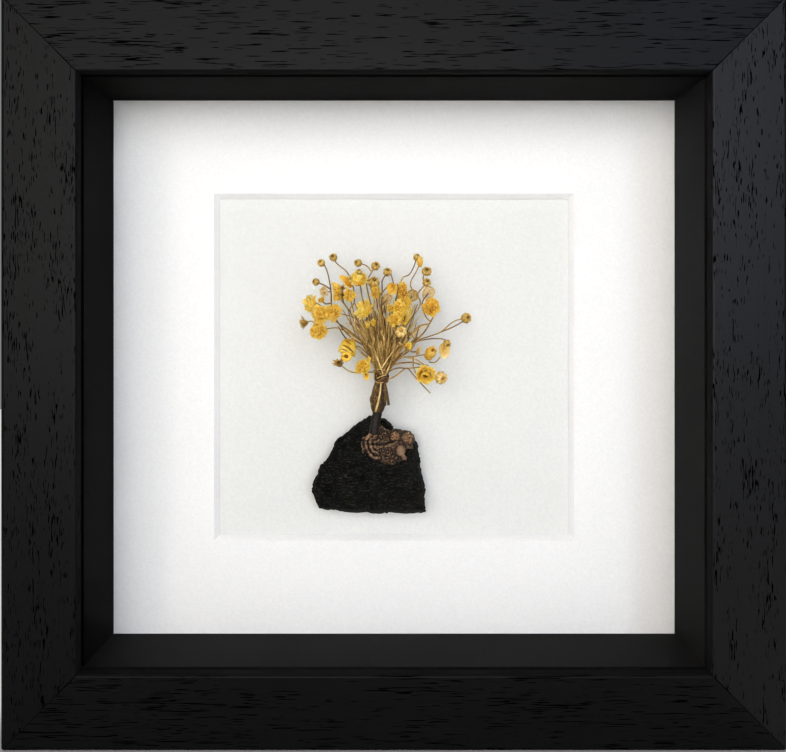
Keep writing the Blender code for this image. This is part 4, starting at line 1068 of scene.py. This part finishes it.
def build_tie(twine, straw):
    """Dark wraps round the waist of the bunch, with paler straws laid on them and crossed over them."""
    chance = random.Random(TIE_SEED)
    build = new_build()
    for wrap, (start_z, rise, radius, thick) in enumerate(TIE_WRAPS):
        path = []
        for i in range(25):
            angle = math.tau * i / 24
            wobble = 0.12 * math.sin(angle * 3 + wrap)
            path.append(spot(TIE_X + (radius + wobble) * math.cos(angle),
                             start_z + rise * math.sin(angle) + wobble,
                             BUNCH_DEPTH + (radius + wobble) * math.sin(angle)))
        add_strand(build, path, thick, thick, (0.1, 0.45), chance)
    for path, tone in LAID_STRAWS:
        points = []
        for x, z in path:
            across = min(1.0, abs(x - TIE_X) / TIE_REACH)
            points.append(spot(x, z, BUNCH_DEPTH - TIE_REACH * math.sqrt(1 - across * across)))
        add_strand(build, curve_through(points), 0.19, 0.17, (tone, tone), chance, 1)
    for path, tone in CROSSED_STRAWS:
        points = [spot(x, z, CROSSED_DEPTH + CROSSED_SLOPE * abs(x - CROSSED_X)) for x, z in path]
        add_strand(build, curve_through(points), 0.18, 0.18, (tone, tone), chance, 1)
    return finish_piece(build, "tie_wraps", [twine, straw], "tie")


def build_foot(tape):
    """The taped foot: crepe tape wound in a spiral, each turn overlapping the last."""
    build = new_build()
    start, bend, end = (Vector((x, z, 0.0)) for x, z in FOOT_PATH)
    steps, around = 70, 28
    path = []
    for i in range(steps + 1):
        t = i / steps
        place = start * (1 - t) ** 2 + bend * 2 * t * (1 - t) + end * t * t
        path.append(spot(place.x, place.y, BUNCH_DEPTH - 0.4 * t + 1.6 * max(0.0, t - 0.75)))
    rings = tube_rings(path, [FOOT_R] * (steps + 1), around)
    tones = []
    for i, ring in enumerate(rings):
        row = []
        for k in range(around):
            wound = (i / steps * TAPE_TURNS + k / around) % 1.0
            crease = noise.noise(Vector((i * 0.5, k * 1.3, 0.0)))
            swell = 1.0 + 0.11 * (wound - 0.5) + 0.035 * crease
            ring[k] = path[i] + (ring[k] - path[i]) * swell
            row.append(bounded(0.25 + 0.5 * wound + 0.3 * crease))
        tones.append(row)
    add_rings(build, rings, tones)
    return finish_piece(build, "foot_tape", [tape], "taped_foot")


def broken_outline(points, steps, chip, shift):
    """An outline whose straight runs are chipped by up to a number of millimetres."""
    made = []
    for a, b in zip(points, points[1:] + points[:1]):
        for step in range(steps):
            x, z = (p + (q - p) * step / steps for p, q in zip(a, b))
            at = Vector((x, z, shift))
            nick = noise.noise(at / 1.1) * 0.7 + noise.noise(at / 0.45) * 0.5
            made.append((x + chip * nick, z + chip * noise.noise(at / 0.9 + Vector((7, 7, 7)))))
    return made


def drawn_in(point, middle, share):
    """A point of an outline, drawn in towards the outline's middle."""
    return tuple(m + (p - m) * share for p, m in zip(point, middle))


def profile_depth(profile, share):
    """Depth of the stone's face at a share of its outline."""
    for (outer, deep), (inner, shallow) in zip(profile, profile[1:]):
        if outer >= share >= inner:
            return deep + (shallow - deep) * (outer - share) / (outer - inner)
    return profile[-1][1]


def stone_relief(at):
    """How far the stone's face is broken back at a place: a slow swell, sharp steps, pits and grit."""
    step = noise.noise(at / 3.1 + Vector((9, 2, 5)))
    lift = noise.noise(at / STONE_BREAK) * STONE_SWELL
    lift += 0.6 * (abs(step) ** 0.5) * (1 if step > 0 else -1)
    return lift + (0.3 * noise.fractal(at / 1.1, 1.0, 2.0, 4) + 0.08 * noise.noise(at / 0.28))


def build_stone(slate):
    """The stone: broken, flat-backed, its face pitted and stepped."""
    build = new_build()
    outline = broken_outline(STONE_OUTLINE, 5, STONE_CHIP, 0.0)
    levels = STONE_REAR + [(share, profile_depth(STONE_FACE, share)) for share in STONE_SHARES]
    rings = []
    for share, depth in levels:
        ring = []
        for point in outline:
            x, z = drawn_in(point, STONE_MIDDLE, share)
            lift = stone_relief(Vector((x, z, depth))) if depth < STONE_BACK else 0.0
            ring.append(spot(x, z, depth + lift))
        rings.append(ring)
    add_rings(build, rings, [0.5] * len(rings))
    return finish_piece(build, "broken_stone", [slate], "stone", smooth=False)


def within(x, z, patch, wider=0.0):
    """How far inside a patch a place is, from 1 in its middle to 0 outside it."""
    across, up = (x - patch[0]) / (patch[2] + wider), (z - patch[1]) / (patch[3] + wider)
    return math.exp(-(across ** 2 + up ** 2) ** 4)


def lichen_relief(x, z):
    """Height and tone of the flake at a place: nested rims at the left, a fold across, crumbs and lobes."""
    at = Vector((x, z, 0.0))
    crumb = noise.fractal(at / 0.5, 0.7, 2.0, 3)
    warp = 0.6 * noise.noise(at / 1.8) + 0.6 * noise.noise(at / 0.8)
    run = math.hypot(x - RIM_MIDDLE[0], z - RIM_MIDDLE[1]) + 0.9 * warp
    west = bounded((RIM_FULL_X - x) / RIM_FADE + max(0.0, RIM_FOOT_Z - z) * 0.25) if x < RIM_LAST_X else 0.0
    rim = west * math.cos(math.tau * run / RIM_PITCH)
    fold_z = FOLD_Z + max(0.0, x - FOLD_BEND_X) * FOLD_CLIMB + 0.3 * warp
    folded = 1.0 if FOLD_ENDS[0] < x < FOLD_ENDS[1] else 0.0
    slit = folded * math.exp(-((z - fold_z - 0.45) / 0.3) ** 2)
    lip = folded * math.exp(-((z - fold_z + 0.25) / 0.38) ** 2)
    gap = max(0.0, max(within(x, z, lobe, LOBE_GAP) for lobe in LICHEN_LOBES)
              - max(within(x, z, lobe) for lobe in LICHEN_LOBES))
    height = FLAKE_RISE + 0.7 * rim + 0.26 * crumb + 0.6 * lip - 1.3 * slit - 0.9 * gap
    # The tone rises and falls with the height: painted shade in the slit under the fold, in the gaps round
    # the lobes and in the rims' troughs, painted light on their crests
    tone = FLAKE_TONE + 0.38 * rim + 0.34 * crumb + 0.32 * lip - 0.5 * slit - 0.55 * gap
    for patch in LICHEN_LOBES + LICHEN_HOLLOWS:
        inside = within(x, z, patch)
        rise, shade, crumbled = patch[4:]
        height += inside * (rise + 0.35 * crumbled * crumb)
        tone += inside * (shade + 0.55 * (crumbled - 0.4) * crumb)
    return height, bounded(tone)


def build_lichen(stone, bark, warm_bark):
    """The flake, laid on the stone's face, its edge scalloped and turned down, with rustier patches."""
    build = new_build()
    face = BVHTree.FromObject(stone, bpy.context.evaluated_depsgraph_get())
    backward = Vector((0.0, 1.0, 0.0))
    outline = broken_outline(LICHEN_OUTLINE, 6, LICHEN_CHIP, 4.0)
    shares = [1.0 - LICHEN_STEP * i for i in range(LICHEN_RINGS)]

    def bed(x, z):
        hit = face.ray_cast(spot(x, z, 10.0), backward)[0]
        return min(LICHEN_REACH, hit.y / MM + FRAME_D / 2 if hit else LICHEN_REACH)

    under = [drawn_in(point, LICHEN_MIDDLE, 0.96) for point in outline]
    rings = [[spot(x, z, bed(x, z) + 0.4) for x, z in under]]
    # The ring under the edge is painted dark, painted shade beneath the flake
    tones = [[0.1] * len(outline)]
    for share in shares:
        edge = min(1.0, 0.5 + (1 - share) * 7)
        ring = []
        row = []
        for point in outline:
            x, z = drawn_in(point, LICHEN_MIDDLE, share)
            height, tone = lichen_relief(x, z)
            ring.append(spot(x, z, bed(x, z) - max(0.2, height * edge)))
            # Painted shade darkens the flake towards its turned-down edge
            row.append(tone * (0.75 + 0.25 * edge))
        rings.append(ring)
        tones.append(row)
    add_rings(build, rings, tones)
    for index, corners in enumerate(build["faces"]):
        level, turn = divmod(min(corners), len(outline))
        x, z = drawn_in(outline[turn], LICHEN_MIDDLE, 1.0 - LICHEN_STEP * max(0, level - 1))
        ragged = 0.3 * noise.noise(Vector((x, z, 3.0)))
        if any(within(x, z, patch) > 0.5 + ragged for patch in WARM_PATCHES):
            build["kinds"][index] = 1
    return finish_piece(build, "lichen_bark", [bark, warm_bark], "lichen_flake")


# Setting

def build_camera():
    """The picture's view: level, square on, with the frame's middle below the lens axis."""
    data = bpy.data.cameras.new("camera")
    data.sensor_width = SENSOR_MM
    data.lens = FOCAL_PX / PHOTO_W * SENSOR_MM
    data.shift_x = (PHOTO_W / 2 - PRINCIPAL_X) / PHOTO_W
    data.shift_y = (PRINCIPAL_Y - PHOTO_H / 2) / PHOTO_W
    data.clip_start = 0.01
    camera = bpy.data.objects.new("camera", data)
    camera.location = (0.0, -(EYE_DISTANCE + FRAME_D / 2) * MM, EYE_HEIGHT * MM)
    camera.rotation_euler = (math.pi / 2, 0.0, 0.0)
    bpy.context.scene.collection.objects.link(camera)
    bpy.context.scene.camera = camera


def build_light(name, place, size, power, tint):
    """A soft box that points at the frame's middle."""
    data = bpy.data.lights.new(name, "AREA")
    data.shape = "RECTANGLE"
    data.size, data.size_y = size
    data.energy = power
    data.color = colour(tint)[:3]
    light = bpy.data.objects.new(name, data)
    light.location = place
    light.rotation_euler = (Vector(LIGHT_AIM) - Vector(place)).to_track_quat("-Z", "Y").to_euler()
    bpy.context.scene.collection.objects.link(light)


def build_setting():
    """Camera, soft boxes, a pale sky, and a pale floor that the frame stands on."""
    build_camera()
    for name, (place, size, power, tint) in LIGHTS.items():
        build_light(name, place, size, power, tint)
    world = bpy.data.worlds.new("studio")
    world.use_nodes = True
    sky = world.node_tree.nodes["Background"]
    sky.inputs["Color"].default_value = colour("#EEEFF1")
    sky.inputs["Strength"].default_value = SKY_STRENGTH
    bpy.context.scene.world = world
    bpy.context.scene.view_settings.view_transform = "Standard"
    bpy.context.scene.view_settings.look = "Medium High Contrast"
    bpy.ops.object.select_all(action="DESELECT")
    bpy.ops.mesh.primitive_circle_add(vertices=96, radius=FLOOR_R, fill_type="NGON",
                                      location=(0, 0, -FLOOR_DROP))
    # Matt painted board: one quiet tone, with a cloud too faint to draw the eye
    floor = bpy.context.object
    floor.name = "floor"
    floor.data.materials.append(speckled("pale_floor", 0.7, 30.0, "#E4E3E0", "#E8E7E4"))


def build_mitre_glue():
    """The dark glue that fills each mitre of the frame, just behind its face."""
    glue = speckled("dark_wood_glue", 0.8, 1.0, "#0A0908", "#12100E", sheen=0.2)
    out_x, out_z = (side / 2 - GLUE_INSET - GLUE_RUN / 2 for side in (FRAME_W, FRAME_H))
    scale = (GLUE_RUN * math.sqrt(2) * MM, (FRAME_D - 2 * GLUE_INSET) * MM, GLUE_THICK * MM)
    corners = (("top_left", -1, 1), ("top_right", 1, 1), ("bottom_left", -1, -1), ("bottom_right", 1, -1))
    for name, x, z in corners:
        bpy.ops.object.select_all(action="DESELECT")
        place = (x * out_x * MM, 0, (FRAME_MIDDLE + z * out_z) * MM)
        lean = -math.radians(45 * x * z)
        bpy.ops.mesh.primitive_cube_add(size=1, location=place, rotation=(0, lean, 0), scale=scale)
        strip = bpy.context.object
        strip.name = "mitre_glue_" + name
        bpy.ops.object.transform_apply(location=True, rotation=True, scale=True)
        strip.data.materials.append(glue)
        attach(strip, "root")


def dress(nodes, material):
    """Gives CAD nodes their material."""
    for node in nodes:
        piece = bpy.data.objects[node]
        piece.data.materials.clear()
        piece.data.materials.append(material)


def dress_frame():
    """Gives the frame's own parts their finishes."""
    # Ash pores run along each side. The right stile is given more sheen than the left, painted sheen for the
    # light that falls on it from the right
    dress(["rail_top", "rail_bottom"], black_stained_ash("black_stained_ash_across", "X", 8.0, 0.13))
    dress(["stile_left"], black_stained_ash("black_stained_ash_left", "Z", 3.6, 0.14))
    dress(["stile_right"], black_stained_ash("black_stained_ash_right_painted_sheen", "Z", 3.6, 0.23))
    dress(["glass_pane"], museum_glass())

    # Strips painted flat black with no gloss. The top and left ones are painted darker, painted shade, and
    # the lower and right ones greyer with a little more sheen, painted light, as if lit from the upper left
    shaded_side = speckled("painted_strip", 0.8, 1.2, "#060607", "#09090A", 0.02, sheen=0.12)
    lit_side = speckled("painted_strip_lit_side", 0.75, 1.2, "#151516", "#1B1B1C", 0.02, sheen=0.2)
    dress(["spacer_top", "spacer_left"], shaded_side)
    dress(["spacer_bottom", "spacer_right"], lit_side)

    # Cotton mount board and rag card: matt off-whites with a fine felt tooth. The board is painted a little
    # whiter and the card a little greyer, painted light and painted shade that even out the walls' shade on
    # the board
    dress(["window_mount"], speckled("mount_board", 0.9, 0.6, "#F0EFED", "#F5F4F2", 0.01, sheen=0.2))
    dress(["backing_card"], speckled("backing_card", 0.9, 0.8, "#E2E2DE", "#E7E7E3", 0.01, sheen=0.2))

    # Pressed hardboard: mottled brown fibre with a slightly rough face
    dress(["back_panel"], speckled("pressed_hardboard", 0.7, 0.8, "#6E4C30", "#836042", 0.04))

    # Plated steel: satin metal with a faint cloud, grey zinc on the tabs and warm brass on the hanger
    zinc = speckled("zinc_plated_steel", 0.36, 2.0, "#A9ABAC", "#C2C4C6", 0.01, 1.0)
    brass = speckled("brass_plated_steel", 0.34, 2.0, "#B98F3E", "#D1AA57", 0.01, 1.0)
    sides = ("top", "bottom", "left", "right")
    dress([f"tab_{side}_{number}" for side in sides for number in (1, 2)], zinc)
    dress(["sawtooth_hanger", "hanger_nail_left", "hanger_nail_right"], brass)


# Tones of the dried parts, each from dark, partly painted shade in folds and at feet, to bright tips
THIRDS = (0.0, 0.5, 1.0)
QUARTERS = (0.0, 0.25, 0.5, 0.75, 1.0)
STEM_STEPS = (0.0, 0.3, 0.55, 0.8, 1.0)
PETAL_STEPS = (0.0, 0.3, 0.6, 0.85, 1.0)

# Dry stems: a smooth skin with a low sheen, from dark brown, partly painted shade between the stems, to pale
# straw
straw = dried_part("dry_stem", 0.62, 0.5, STEM_STEPS,
                   ("#2A2011", "#6C5228", "#AE8B48", "#DDBB78", "#F2DBA2"))
# Petals dried in air: thin and papery, so that a little light glows through them, and brown at their feet
# and where they fold, partly their own colour and partly painted shade
gold = dried_part("dried_gold_petal", 0.6, 0.6, PETAL_STEPS,
                  ("#84540F", "#D09C2C", "#EFC244", "#F7D35E", "#FBE290"), 0.15)
orange = dried_part("dried_orange_petal", 0.6, 0.6, PETAL_STEPS,
                    ("#7E4E0E", "#C88E24", "#E9B43C", "#F3C654", "#F9DA80"), 0.15)
pale = dried_part("bleached_petal", 0.6, 0.6, PETAL_STEPS,
                  ("#8A5F1C", "#BF9342", "#DCB86A", "#EACF8A", "#F6E6BA"), 0.2)
beige = dried_part("dried_beige_petal", 0.6, 0.6, PETAL_STEPS,
                   ("#6B451E", "#B08648", "#D9B878", "#E8CC96", "#F2E0B8"), 0.2)
# Buds: closed bracts, firmer and browner than the petals
bud = dried_part("dried_bud", 0.55, 0.4, PETAL_STEPS,
                 ("#40260A", "#876220", "#BA9442", "#D2B05C", "#E6CC84"))
# Bast twine: dark, dull and fibrous
twine = dried_part("dark_bast_twine", 0.75, 0.4, THIRDS, ("#36220E", "#6A4C28", "#987442"))
# Crepe tape: dark brown waxed paper, with a paler edge on each turn
tape = dried_part("crepe_floral_tape", 0.7, 0.5, THIRDS, ("#100C08", "#221B14", "#382D22"))
# Bark grown over with lichen: chalky and dull, with rustier patches. Its darkest tones are painted shade in
# the gaps, the slit and at the turned-down edge
bark = dried_part("lichen_grown_bark", 0.85, 0.5, QUARTERS,
                  ("#140D09", "#3C2D23", "#705944", "#9C7F66", "#BE9F83"))
warm_bark = dried_part("rusty_lichen", 0.85, 0.5, QUARTERS,
                       ("#1A110B", "#443122", "#74573E", "#9A7757", "#BC9876"))

build_setting()
dress_frame()
build_mitre_glue()
stone = build_stone(broken_slate())
build_lichen(stone, bark, warm_bark)
build_foot(tape)
build_stem_bunch(straw)
build_tie(twine, straw)
for sprig, stems in SPRIGS.items():
    build_sprig(sprig, stems, [straw, gold, orange, pale, beige, bud])
